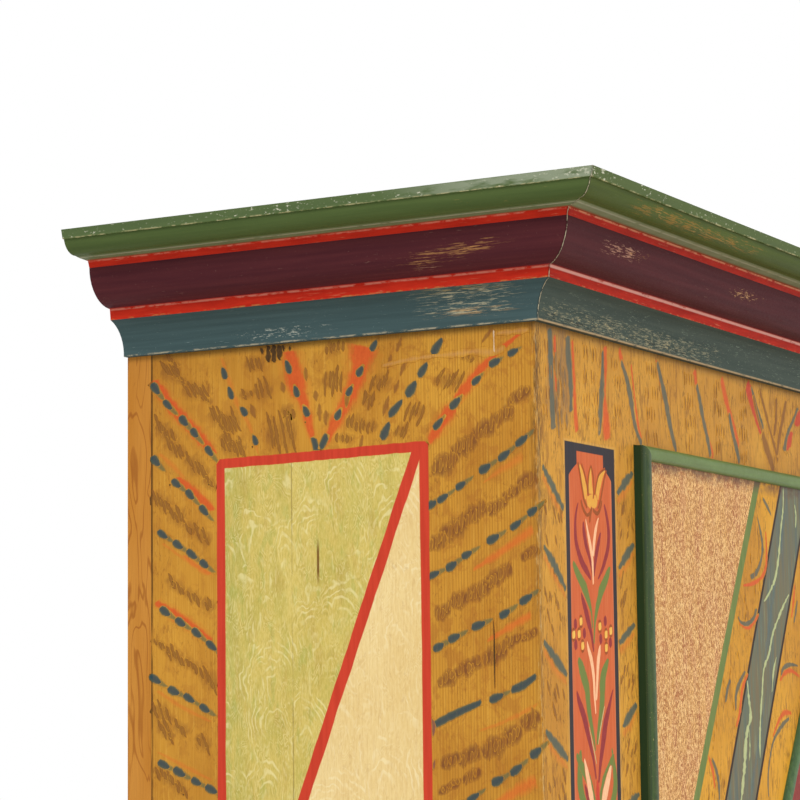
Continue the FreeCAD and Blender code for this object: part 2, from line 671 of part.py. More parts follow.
def make_hinges(side, hand):
    """Pin hinges: the lower knuckle and its pin stay on the frame, the upper one lifts off."""
    on_frame = []
    on_door = []
    x, y = at(hand, "pivot_x"), "pivot_y"
    for level in ("upper", "lower"):
        middle = "%s_hinge_z" % level
        low = middle + " - knuckle_length"
        name = "%s_%s" % (side, level)
        knuckle = cylinder(name + "_frame_knuckle", "knuckle_radius", "knuckle_length", x, y, low)
        pin = cylinder(name + "_pin", "pin_radius", "knuckle_length + pin_reach", x, y, low)
        plate = box(name + "_frame_plate",
                    span(hand, "opening_x", "opening_x + hinge_plate_thickness"),
                    ("front_y - hinge_plate_thickness", "front_y + hinge_plate_depth"),
                    (low, low + " + hinge_plate_length"))
        neck = box(name + "_frame_neck",
                   span(hand, "pivot_x", "opening_x + hinge_plate_thickness"),
                   ("front_y - hinge_plate_thickness", "front_y"),
                   (low, low + " + hinge_plate_length"))
        on_frame.append(fuse(name + "_frame_hinge", knuckle, pin, plate, neck,
                             *finial(name + "_low_finial", hand, middle, -1)))
        high = middle + " + knuckle_gap"
        upper = cylinder(name + "_door_knuckle", "knuckle_radius", "knuckle_length - knuckle_gap",
                         x, y, high)
        plate_low = middle + " + knuckle_length - hinge_plate_length"
        wing = box(name + "_door_plate",
                   span(hand, "leaf_outer - hinge_plate_thickness", "leaf_outer"),
                   ("leaf_face", "leaf_face + hinge_plate_depth"),
                   (plate_low, plate_low + " + hinge_plate_length"))
        solid = fuse(name + "_door_hinge", upper, wing,
                     *finial(name + "_high_finial", hand, middle, 1))
        bore = cylinder(name + "_bore", "pin_radius + pin_clearance",
                        "pin_reach + pin_end_room", x, y, middle)
        on_door.append(cut(name + "_door_hinge_bored", solid, bore))
    node(side + "_frame_hinges", *on_frame)
    node(side + "_door_hinges", *on_door)


# ---------------------------------------------------------------- lock, key and bolts

LOCK_BACK = "leaf_back + lock_depth"
BOLT_BACK = LOCK_BACK + " - lock_wall - lock_bolt_clearance"
BOLT_FRONT = BOLT_BACK + " - lock_bolt_thickness"
BOLT_LOW = "lock_height + key_bit_length + key_bolt_gap"
BOLT_HIGH = BOLT_LOW + " + lock_bolt_height"


def grown(low, high, clearance):
    return ("%s - %s" % (low, clearance), "%s + %s" % (high, clearance))


def make_lock():
    left, right = "leaf_inner + lock_inset", "leaf_inner + lock_inset + lock_width"
    low, high = "lock_height - lock_tall / 2", "lock_height + lock_tall / 2"
    shell = box("lock_shell", (left, right), ("leaf_back", LOCK_BACK), (low, high))
    hollow = box("lock_hollow", (left + " + lock_wall", right + " - lock_wall"),
                 ("leaf_back", LOCK_BACK + " - lock_wall"),
                 (low + " + lock_wall", high + " - lock_wall"))
    slot = box("lock_slot", (left, left + " + lock_wall"),
               grown(BOLT_FRONT, BOLT_BACK, "lock_bolt_clearance"),
               grown(BOLT_LOW, BOLT_HIGH, "lock_bolt_clearance"))
    node("lock_case", cut("lock_case_cut", shell, hollow, slot))
    node("lock_bolt", box("bolt_bar", (left, left + " + lock_bolt_length"),
                          (BOLT_FRONT, BOLT_BACK), (BOLT_LOW, BOLT_HIGH)))
    near, far = "leaf_inner + keeper_inset", "leaf_inner + keeper_inset + keeper_width"
    block = box("keeper_block", span(-1, near, far),
                ("leaf_back", LOCK_BACK),
                (BOLT_LOW + " + lock_bolt_height / 2 - keeper_tall / 2",
                 BOLT_LOW + " + lock_bolt_height / 2 + keeper_tall / 2"))
    mouth = box("keeper_mouth", span(-1, near, far + " - lock_wall"),
                grown(BOLT_FRONT, BOLT_BACK, "keeper_clearance"),
                grown(BOLT_LOW, BOLT_HIGH, "keeper_clearance"))
    node("lock_keeper", cut("lock_keeper_cut", block, mouth))


def make_key():
    """A shaft with a bit inside the lock, and a collar and ring bow in front of the door."""
    tip = LOCK_BACK + " - lock_wall - key_tip_room"
    shaft = cylinder("key_shaft", "key_shaft_radius", "(%s) - leaf_face + key_reach" % tip,
                     "key_x", tip, "lock_height", FORWARD)
    collar = cylinder("key_collar", "key_collar_radius", "key_collar_height",
                      "key_x", "leaf_face - key_reach + key_collar_height", "lock_height", FORWARD)
    half = "key_bit_thickness / 2"
    bit = box("key_bit", ("key_x - " + half, "key_x + " + half),
              (tip + " - key_bit_height", tip),
              ("lock_height - key_bit_length", "lock_height"))
    bow = doc.addObject("Part::Torus", "key_bow")
    bow.Placement = Placement(Vector(), Rotation(Vector(0, 1, 0), 90))
    bow.setExpression("Radius1", formula("key_bow_radius"))
    bow.setExpression("Radius2", formula("key_bow_wire"))
    bind_place(bow, "key_x", "leaf_face - key_reach - key_bow_radius", "lock_height")
    node("key", fuse("key_solid", shaft, collar, bit, bow))


def make_escutcheon():
    """A thin iron plate of three joined discs round the keyhole."""
    discs = []
    for name, radius, height in (
            ("middle", "escutcheon_radius", "lock_height"),
            ("foot", "escutcheon_foot_radius", "lock_height - escutcheon_foot_drop"),
            ("head", "escutcheon_head_radius", "lock_height + escutcheon_head_rise")):
        discs.append(cylinder("escutcheon_" + name, radius, "escutcheon_thickness",
                              "key_x", "leaf_face", height, FORWARD))
    plate = fuse("escutcheon_plate", *discs)
    depth = ("leaf_face - escutcheon_thickness", "leaf_face")
    hole = cylinder("escutcheon_hole", "key_shaft_radius + escutcheon_clearance",
                    "escutcheon_thickness", "key_x", "leaf_face", "lock_height", FORWARD)
    half = "(key_bit_thickness / 2 + escutcheon_clearance)"
    slot = box("escutcheon_slot", ("key_x - " + half, "key_x + " + half), depth,
               ("lock_height - key_bit_length - escutcheon_clearance", "lock_height"))
    node("escutcheon", cut("escutcheon_cut", plate, hole, slot))


def slide_bolt(level, way, tip):
    """A flat bolt whose tip is at a height; way is 1 if it shoots upwards, -1 downwards."""
    bolt_x = "leaf_inner + slide_bolt_inset"
    half = "slide_bolt_width / 2"
    tail = "%s - %d * slide_bolt_length" % (tip, way)
    z = (tail, tip) if way > 0 else (tip, tail)
    bar = box(level + "_bar", span(-1, bolt_x + " - " + half, bolt_x + " + " + half),
              ("bolt_y", "bolt_y + slide_bolt_thickness"), z)
    knob_z = "%s + %d * (bolt_plate_end + bolt_plate_length / 2 - slide_bolt_length)" % (
        "(%s)" % tip, way)
    knob = cylinder(level + "_knob", "bolt_knob_radius", "bolt_knob_length",
                    at(-1, bolt_x), "bolt_y + slide_bolt_thickness", knob_z, BACKWARD)
    node("%s_slide_bolt" % level, fuse(level + "_slide_bolt_solid", bar, knob))
    plate_end = "%s + %d * (bolt_plate_end - slide_bolt_length)" % (tip, way)
    plate_far = "%s + %d * bolt_plate_length" % (plate_end, way)
    plate_z = (plate_end, plate_far) if way > 0 else (plate_far, plate_end)
    plate_half = "bolt_plate_width / 2"
    plate = box(level + "_plate", span(-1, bolt_x + " - " + plate_half, bolt_x + " + " + plate_half),
                ("leaf_back", "bolt_y - slide_bolt_clearance"), plate_z)
    pieces = [plate]
    wall = half + " + slide_bolt_clearance + staple_wall"
    bridge_y = ("bolt_y - slide_bolt_clearance",
                "bolt_y + slide_bolt_thickness + slide_bolt_clearance + staple_wall")
    channel_half = half + " + slide_bolt_clearance"
    channel = box(level + "_channel",
                  span(-1, "%s - (%s)" % (bolt_x, channel_half), "%s + %s" % (bolt_x, channel_half)),
                  ("bolt_y - slide_bolt_clearance",
                   "bolt_y + slide_bolt_thickness + slide_bolt_clearance"), plate_z)
    for index, low in enumerate((plate_z[0], plate_z[1] + " - staple_height")):
        pieces.append(box("%s_staple_%d" % (level, index),
                          span(-1, "%s - (%s)" % (bolt_x, wall), "%s + %s" % (bolt_x, wall)),
                          bridge_y, (low, low + " + staple_height")))
    return cut(level + "_guide_cut", fuse(level + "_guide_solid", *pieces), channel)


def make_slide_bolts():
    upper = slide_bolt("upper", 1, "(frieze_z - stop_lap - slide_bolt_room)")
    lower = slide_bolt("lower", -1, "(door_z + stop_lap + slide_bolt_room)")
    node("slide_bolt_guides", upper, lower)


# ---------------------------------------------------------------- drawers

def make_drawer(side, hand):
    x = ("drawer_inner", "drawer_outer")
    face = ("front_y", "front_y + drawer_front_thickness")
    low = "drawer_z"
    board = box(side + "_front_board", span(hand, *x), face, (low, "waist_z - drawer_gap"))
    bottom_z = ("drawer_z + drawer_bottom_rise",
                "drawer_z + drawer_bottom_rise + drawer_bottom_thickness")
    groove_z = grown(bottom_z[0], bottom_z[1], "drawer_groove_clearance")
    wall = "drawer_side_thickness"
    inner_x = ("drawer_inner + " + wall, "drawer_outer - " + wall)
    groove_reach = "drawer_groove + drawer_groove_clearance"
    groove = box(side + "_front_groove",
                 span(hand, inner_x[0] + " - drawer_groove", inner_x[1] + " + drawer_groove"),
                 (face[1] + " - (%s)" % groove_reach, face[1]), groove_z)
    front = cut(side + "_drawer_front_board", board, groove)
    outer = rectangle((at(hand, x[0]), at(hand, x[1])), (low, "waist_z - drawer_gap"))
    inset_x = (at(hand, x[0] + " + bead_width"), at(hand, x[1] + " - bead_width"))
    inset = rectangle(inset_x, (low + " + bead_width", "waist_z - drawer_gap - bead_width"))
    bead = raised_band(side + "_drawer_bead", outer, "bead_width", openings=(inset,))
    bind_place(bead, y="front_y")
    node(side + "_drawer_front", front, bead)

    sides = []
    back_y = ("drawer_back - " + wall, "drawer_back")
    deep = (face[1], "drawer_back")
    side_z = (low, low + " + drawer_side_height")
    for name, near, far, mouth in (
            ("inner", x[0], inner_x[0], (inner_x[0] + " - (%s)" % groove_reach, inner_x[0])),
            ("outer", inner_x[1], x[1], (inner_x[1], inner_x[1] + " + " + groove_reach))):
        plank = box("%s_drawer_%s_plank" % (side, name), span(hand, near, far), deep, side_z)
        slot = box("%s_drawer_%s_groove" % (side, name), span(hand, *mouth), deep, groove_z)
        sides.append(cut("%s_drawer_%s_side" % (side, name), plank, slot))
    node(side + "_drawer_sides", *sides)
    node(side + "_drawer_back", box(side + "_back_plank", span(hand, *inner_x), back_y,
                                    (bottom_z[1] + " + drawer_groove_clearance", side_z[1])))
    node(side + "_drawer_bottom", box(
        side + "_bottom_board",
        span(hand, inner_x[0] + " - drawer_groove", inner_x[1] + " + drawer_groove"),
        (face[1] + " - drawer_groove", "drawer_back"), bottom_z))
    knobs = []
    middle = "(drawer_inner + drawer_outer) / 2"
    for index, sign in enumerate((-1, 1)):
        knob = turned("%s_knob_%d" % (side, index), (
            ("0", "0"), ("knob_foot_radius", "0"), ("knob_foot_radius", "knob_foot_length"),
            ("knob_neck_radius", "knob_neck_length", "knob_neck_length", "in"),
            ("knob_radius", "knob_widest", "knob_radius", "out"),
            ("knob_button_radius", "knob_length", "knob_face_round", "out"), ("0", "knob_length")))
        knob.Placement = Placement(Vector(), FORWARD)
        bind_place(knob, at(hand, "%s + %d * knob_spacing / 2" % (middle, sign)), "front_y",
                   "(drawer_z + waist_z) / 2")
        knobs.append(knob)
    node(side + "_drawer_knobs", *knobs)


def main():
    make_mouldings()
    make_case_frame()
    make_case_boards()
    make_shelves()
    make_door_stops()
    make_runners()
    make_feet()
    for side, hand in SIDES:
        make_leaf(side, hand)
        make_battens(side, hand)
        make_edge_bead(side, hand)
        make_lozenge_bead(side, hand)
        make_hinges(side, hand)
        make_drawer(side, hand)
    make_lock()
    make_key()
    make_escutcheon()
    make_slide_bolts()
    doc.recompute()
    faults = [item.Label for item in doc.Objects if {"Invalid", "Error"} & set(item.State)]
    for label, piece in nodes.items():
        if piece.Shape.isNull() or not piece.Shape.isValid():
            faults.append(label)
    if faults:
        raise RuntimeError("not built: " + ", ".join(faults))
    os.makedirs("parts", exist_ok=True)
    for label, piece in nodes.items():
        piece.Shape.exportStep("parts/%s.step" % label)
        print("%-24s solids %d volume %.0f" % (label, len(piece.Shape.Solids), piece.Shape.Volume))
    print(len(nodes), "nodes")


main()
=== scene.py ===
"""Looks of the painted kas: camera, light, paint on the wood and the decoration brushed on it."""
import math
import random

import bmesh
import bpy
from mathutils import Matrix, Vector


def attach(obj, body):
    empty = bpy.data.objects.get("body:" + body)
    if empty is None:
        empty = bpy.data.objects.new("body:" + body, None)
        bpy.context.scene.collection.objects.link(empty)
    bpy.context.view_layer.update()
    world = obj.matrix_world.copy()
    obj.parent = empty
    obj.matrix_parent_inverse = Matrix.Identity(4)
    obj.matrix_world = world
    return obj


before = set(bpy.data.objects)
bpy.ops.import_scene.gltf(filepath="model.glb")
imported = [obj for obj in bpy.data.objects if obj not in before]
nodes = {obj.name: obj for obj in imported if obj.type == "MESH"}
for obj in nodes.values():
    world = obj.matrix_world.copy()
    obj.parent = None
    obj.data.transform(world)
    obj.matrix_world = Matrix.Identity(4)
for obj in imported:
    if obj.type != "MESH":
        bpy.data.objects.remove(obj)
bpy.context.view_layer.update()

scene = bpy.context.scene

# ------------------------------------------------------------------ places, in millimetres
FRONT_Y = -187.0        # front of the case
LEAF_Y = -195.0         # face of the doors
HALF = 820.0            # half the width of the case
MIDDLE_Z = 1061.0       # middle of the doors, where the diagonals meet
CORNER = HALF + FRONT_Y     # |x| + y on the mitre and at the front corners
MM = 0.001
SIDES = ("left", "right")


def linear(value):
    """A colour written as six hex digits, as the linear numbers that a shader takes."""
    out = []
    for index in (0, 2, 4):
        part = int(value[index:index + 2], 16) / 255
        out.append(part / 12.92 if part <= 0.04045 else ((part + 0.055) / 1.055) ** 2.4)
    return (*out, 1.0)


# ------------------------------------------------------------------ camera
LENS, SENSOR = 122.0, 36.0      # millimetres
SHIFT = 0.1543                  # a share of the picture's width
EYE = (-3.2756, -1.3831, 1.4107)    # metres
YAW, PITCH = 58.53, 6.68        # degrees: from +Y towards +X, and upwards
ROLL = -0.0064                  # radians


def make_camera():
    camera = bpy.data.cameras.new("camera")
    camera.lens = LENS
    camera.sensor_width = SENSOR
    camera.shift_x = SHIFT
    camera.clip_end = 50
    holder = bpy.data.objects.new("camera", camera)
    scene.collection.objects.link(holder)
    yaw, pitch = math.radians(YAW), math.radians(PITCH)
    forward = Vector((math.sin(yaw) * math.cos(pitch), math.cos(yaw) * math.cos(pitch),
                      math.sin(pitch)))
    right = Vector((math.cos(yaw), -math.sin(yaw), 0))
    up = right.cross(forward)
    side = right * math.cos(ROLL) + up * math.sin(ROLL)
    top = up * math.cos(ROLL) - right * math.sin(ROLL)
    rotation = holder.matrix_world.to_3x3()
    for row in range(3):
        rotation[row] = (side[row], top[row], -forward[row])
    holder.matrix_world = rotation.to_4x4()
    holder.location = EYE
    scene.camera = holder


# ------------------------------------------------------------------ materials
class Term:
    """One output of a node tree. Sums written with it become Math nodes."""

    def __init__(self, paint, socket):
        self.paint = paint
        self.socket = socket

    def __add__(self, other):
        return self.paint.math("ADD", self, other)

    def __sub__(self, other):
        return self.paint.math("SUBTRACT", self, other)

    def __rsub__(self, other):
        return self.paint.math("SUBTRACT", other, self)

    def __mul__(self, other):
        return self.paint.math("MULTIPLY", self, other)

    def __truediv__(self, other):
        return self.paint.math("DIVIDE", self, other)

    def __neg__(self):
        return self.paint.math("MULTIPLY", self, -1)

    def __abs__(self):
        return self.paint.math("ABSOLUTE", self)

    __radd__, __rmul__ = __add__, __mul__


class Paint:
    """A material, with its place on the object in millimetres as x, y and z."""

    def __init__(self, name):
        self.material = bpy.data.materials.new(name)
        self.material.use_nodes = True
        self.tree = self.material.node_tree
        self.tree.nodes.clear()
        self.shader = self.tree.nodes.new("ShaderNodeBsdfPrincipled")
        output = self.tree.nodes.new("ShaderNodeOutputMaterial")
        self.tree.links.new(self.shader.outputs[0], output.inputs["Surface"])
        place = self.tree.nodes.new("ShaderNodeTexCoord").outputs["Object"]
        self.x, self.y, self.z = (part * 1000 for part in self.parts(place))

    def feed(self, socket, value):
        if isinstance(value, Term):
            self.tree.links.new(value.socket, socket)
        elif isinstance(value, str):
            socket.default_value = linear(value)
        elif isinstance(value, (int, float)):
            socket.default_value = value
        else:
            self.tree.links.new(value, socket)

    def math(self, kind, *values):
        node = self.tree.nodes.new("ShaderNodeMath")
        node.operation = kind
        for socket, value in zip(node.inputs, values):
            self.feed(socket, value)
        return Term(self, node.outputs[0])

    def parts(self, socket):
        """The three numbers of a vector."""
        node = self.tree.nodes.new("ShaderNodeSeparateXYZ")
        self.tree.links.new(socket, node.inputs[0])
        return [Term(self, output) for output in node.outputs]

    def cells(self, x, y, z):
        """Cells round scattered centres; the node gives each point's centre and its distance."""
        node = self.tree.nodes.new("ShaderNodeTexVoronoi")
        node.inputs["Scale"].default_value = 1
        self.tree.links.new(self.vector(x, y, z), node.inputs["Vector"])
        return node

    def vector(self, x, y, z):
        node = self.tree.nodes.new("ShaderNodeCombineXYZ")
        for socket, value in zip(node.inputs, (x, y, z)):
            self.feed(socket, value)
        return node.outputs[0]

    def noise(self, size, detail=3, seed=0, roughness=0.55, distortion=0.0, at=None):
        """Noise from 0 to 1 whose blots are size millimetres wide, deep and high."""
        x, y, z = at or (self.x, self.y, self.z)
        node = self.tree.nodes.new("ShaderNodeTexNoise")
        place = self.vector(x * (1 / size[0]) + seed * 7.31, y * (1 / size[1]) + seed * 3.17,
                            z * (1 / size[2]) + seed * 1.93)
        self.tree.links.new(place, node.inputs["Vector"])
        node.inputs["Scale"].default_value = 1
        node.inputs["Detail"].default_value = detail
        node.inputs["Roughness"].default_value = roughness
        node.inputs["Distortion"].default_value = distortion
        return Term(self, node.outputs[0])

    def step(self, value, edge, soft=0.5):
        """0 below an edge and 1 above it, over twice the soft width."""
        node = self.tree.nodes.new("ShaderNodeMapRange")
        self.feed(node.inputs["Value"], value)
        node.inputs["From Min"].default_value = edge - soft
        node.inputs["From Max"].default_value = edge + soft
        return Term(self, node.outputs[0])

    def below(self, value, edge, soft=0.5):
        return 1 - self.step(value, edge, soft)

    def blots(self, edge, soft, *noise):
        """The places where a noise is above an edge."""
        return self.step(self.noise(*noise), edge, soft)

    def band(self, value, low, high, soft=0.5):
        return self.step(value, low, soft) - self.step(value, high, soft)

    def both(self, *masks):
        result = masks[0]
        for mask in masks[1:]:
            result = result * mask
        return result

    def either(self, one, other):
        return self.math("MAXIMUM", one, other)

    def mix(self, mask, below, above):
        """The colour below where the mask is 0, and the one above where it is 1."""
        node = self.tree.nodes.new("ShaderNodeMix")
        node.data_type = "RGBA"
        self.feed(node.inputs[0], mask)
        self.feed(node.inputs[6], below)
        self.feed(node.inputs[7], above)
        return node.outputs[2]

    def finish(self, colour, roughness=0.5, height=None, depth=0.3, specular=0.12):
        self.feed(self.shader.inputs["Base Color"], colour)
        self.feed(self.shader.inputs["Roughness"], roughness)
        self.shader.inputs["Specular IOR Level"].default_value = specular
        if height is not None:
            bump = self.tree.nodes.new("ShaderNodeBump")
            bump.inputs["Strength"].default_value = 0.5
            bump.inputs["Distance"].default_value = depth * MM
            self.feed(bump.inputs["Height"], height)
            self.tree.links.new(bump.outputs[0], self.shader.inputs["Normal"])
        return self.material

    def wood(self, colour, fine, rough=0.42):
        """The finish of painted boards, rougher and raised where the brush left fine streaks."""
        return self.finish(colour, self.step(fine, 0.5, 0.4) * 0.2 + rough, fine, 0.25)


def ochre_ground(p, seed, light="d69c38", dark="b97d2a"):
    """Ochre paint, brushed along the boards, with darker streaks and thin places."""
    cloud = p.noise((90, 90, 160), 3, seed + 1)
    fine = p.noise((1.3, 1.3, 60), 4, seed + 2, 0.6)
    colour = p.mix(p.step(cloud, 0.5, 0.2), dark, light)
    colour = p.mix(p.step(fine, 0.62, 0.12) * 0.45, colour, "a2681f")
    colour = p.mix(p.step(fine, 0.36, 0.1) * -0.35 + 0.35, colour, "e3b456")
    return colour, fine


def brown_marks(p, colour, mask, seed, size, tint, cover, strength):
    """Dabs of brown glaze in the places that a mask gives."""
    blot = p.noise(size, 4, seed + 11, 0.65, 0.6)
    return p.mix(p.step(blot, cover, 0.05) * mask * strength, colour, tint)


def pine(name, seed=0, along="z", boards=None):
    """Bare aged pine, its grain along one axis. boards gives the first joint and the pitch."""
    p = Paint(name)
    x, y, z = p.x, p.y, p.z
    if boards:
        share = (x - boards[0]) * (1 / boards[1])
        board = p.math("FLOOR", share)
        joint = abs(share - p.math("ROUND", share)) * boards[1]
        y, z = y + board * 173, z + board * 977
    if along == "x":
        x, z = z, x
    elif along == "y":
        y, z = z, y
    bend = p.noise((120, 120, 700), 2, seed + 3, at=(x, y, z))
    wide = p.math("SINE", (x + y + bend * 260) * 0.32)
    fine = p.noise((1.1, 1.1, 70), 4, seed + 4, 0.6, at=(x, y, z))
    cloud = p.noise((150, 150, 400), 2, seed + 5, at=(x, y, z))
    colour = p.mix(p.step(cloud, 0.5, 0.25), "cf9f63", "a87338")
    colour = p.mix(p.step(wide, 0.7, 0.4) * 0.5, colour, "8f5a28")
    colour = p.mix(p.step(fine, 0.58, 0.14) * 0.4, colour, "7a4a22")
    if boards:
        colour = p.mix(p.below(joint, 0.9, 0.4) * 0.8, colour, "4a2f18")
    return p.finish(colour, p.step(fine, 0.5, 0.5) * 0.15 + 0.55, fine, 0.25, 0.25)


def post_wood():
    """The plain strip behind the side: ochre brown pine whose growth rings make tall arches."""
    p = Paint("post_wood")
    bend = p.noise((22, 22, 130), 2, 61, 0.4, 0.6)
    rings = p.math("SINE", bend * 46)
    lines = p.both(p.blots(0.42, 0.1, (70, 70, 130), 2, 62), p.step(rings, 0.86, 0.14))
    fine = p.noise((1.1, 1.1, 50), 4, 63, 0.6)
    colour = p.mix(p.blots(0.5, 0.2, (40, 40, 200), 3, 64), "d0903f", "bd7b2c")
    colour = p.mix(p.step(fine, 0.6, 0.12) * 0.4, colour, "a2652a")
    colour = p.mix(lines * 0.6, colour, "8f4d1b")
    return p.finish(colour, 0.5, fine, 0.2, 0.1)


def assign(material, *names):
    """Gives a material to CAD nodes. SIDE in a name stands for left and for right."""
    for name in names:
        for side in SIDES if "SIDE" in name else ("",):
            mesh = nodes[name.replace("SIDE", side)].data
            mesh.materials.clear()
            mesh.materials.append(material)


# ------------------------------------------------------------------ paint on the wood
def lengthwise(along, long, thin):
    """The size of marks that run along a moulding."""
    return (long, thin, thin) if along == "x" else (thin, long, thin)


def scratches(p, colour, along, seed, tint, cover, strength, patch, long=26):
    """Pale scratches that run along a moulding, in patches."""
    lines = p.noise(lengthwise(along, long, 1.2), 3, seed + 21, 0.6)
    worn = p.noise((60, 60, 30), 3, seed + 22, 0.6)
    where = p.both(p.step(lines, cover, 0.03), p.step(worn, patch, 0.08)) * strength
    return p.mix(where, colour, tint)


def speckled(p, colour, mask, seed, tint, cover, long, along):
    """Small chips and short scratches inside a mask, thinning out towards its edge."""
    chips = p.noise(lengthwise(along, long, 1.6), 4, seed + 25, 0.75)
    ragged = p.noise((26, 26, 12), 3, seed + 26, 0.65)
    where = p.step(chips + (mask * ragged - 0.5) * 0.3, cover, 0.03) * mask * 0.8
    return p.mix(where, colour, tint)


def mitre(p, colour, seed):
    """The joint line where two runs of a moulding meet, its paint cracked."""
    off = abs(abs(p.x) + p.y - CORNER)
    broken = p.noise((6, 6, 6), 2, seed + 31)
    dark = p.mix(p.below(off, 1.5, 0.8) * 0.5, colour, "231a14")
    line = p.below(off, 0.5, 0.3) * p.step(broken, 0.47, 0.05)
    return p.mix(line * 0.9, dark, "d2c6a6")


def tone(p, first, second, size, seed, soft=0.2):
    """Two close shades of one paint."""
    return p.mix(p.blots(0.5, soft, size, 3, seed + 41), first, second)


def worn_edges(p, colour, arrises, seed):
    """Paint rubbed off along arrises, and painted highlights along some of them: reach from the case,
    height, tint, width and threshold.
    """
    reach = p.either(abs(p.x) - HALF, FRONT_Y - p.y)
    for index, (out, height, tint, wide, cover) in enumerate(arrises):
        off = p.either(abs(p.z - height), abs(reach - out))
        rub = p.noise((16, 16, 5), 4, seed + 51 + index, 0.7)
        line = p.below(off, wide, 0.6) * p.step(rub, cover, 0.06)
        colour = p.mix(line * 0.85, colour, tint)
    return colour


RED, RED_DEEP = "c02c1a", "a02316"
GREEN, GREEN_DEEP = "4f6135", "3f4f2a"
PLUM, PLUM_DEEP = "522428", "3c191b"
BLUE, BLUE_DEEP = "485754", "384848"
CROWN_Z, OVOLO_Z = 1905.9, 1858.2


def moulding_paint(name, main, deep, red_top, edges, wear, tint, seed, tilt=0.0, below=0.0):
    """One layer of the cornice: its colour, the red fillet at its foot, scuffs, rubbed edges and painted
    highlights along some edges.

    wear lists patches as lowest and highest place along the run and in height, a tint, the length
    of its scratches and the threshold that thins them; tilt lowers them along the run. below pales
    the crown's underside with a painted highlight."""
    p = Paint(name)
    along = "x" if name.endswith("front") else "y"
    colour = tone(p, main, deep, lengthwise(along, 160, 6), seed)
    place = HALF - abs(p.x) if along == "x" else p.y - FRONT_Y
    colour = scratches(p, colour, along, seed, tint, 0.7, 0.6, 0.58, 14)
    for index, (low, high, foot, head, patch, long, cover) in enumerate(wear):
        mask = p.band(place, low, high, 30) * p.band(p.z + place * tilt, foot, head, 4)
        colour = speckled(p, colour, mask, seed + index, patch, cover, long, along)
    fine = p.noise((2, 2, 2), 4, seed + 9, 0.6)
    colour = p.mix(p.step(fine, 0.7, 0.03) * 0.45, colour, tint)
    if red_top:
        reds = (RED, RED_DEEP) if along == "x" else ("d23420", "b92a1b")
        red = tone(p, *reds, (40, 40, 5), seed + 5)
        red = scratches(p, red, along, seed + 6, "d98a66", 0.66, 0.5, 0.52)
        colour = p.mix(p.below(p.z, red_top, 0.25), colour, red)
    # a pale band along the crown's underside: a painted highlight
    if below:
        under = p.band(p.z, CROWN_Z + 0.1, 1907.5, 0.2)
        colour = p.mix(under * below * (p.noise((30, 30, 9), 3, seed + 28) + 0.4), colour, "a3a887")
    colour = worn_edges(p, colour, edges, seed)
    lip = p.band(p.z, 1923.5, 1932.8, 0.5)
    colour = p.mix(lip * 0.25, colour, "66785a")
    corner = p.below(abs(abs(p.x) + p.y - CORNER), 40, 30)
    gain, cover = (0.13, 0.64) if along == "y" else (0.08, 0.66)
    flecks = p.noise((7, 7, 3), 4, seed + 24, 0.7) + corner * gain
    flecks = flecks + p.noise((90, 90, 90), 2, seed + 27) * 0.2 - 0.1
    colour = p.mix(p.both(lip, p.step(flecks, cover, 0.03)) * 0.85, colour, "d6d4bc")
    if along == "y":
        near = lip * p.below(place, 60, 50)
        rubbed = p.blots(0.44, 0.1, (30, 30, 6), 3, seed + 31)
        colour = p.mix(near * rubbed * 0.55, colour, "a9b09a")
    colour = mitre(p, colour, seed)
    grain = p.noise(lengthwise(along, 120, 1.5), 3, seed + 8)
    return p.finish(colour, p.step(fine, 0.6, 0.2) * 0.25 + 0.4, grain, 0.2, 0.03)
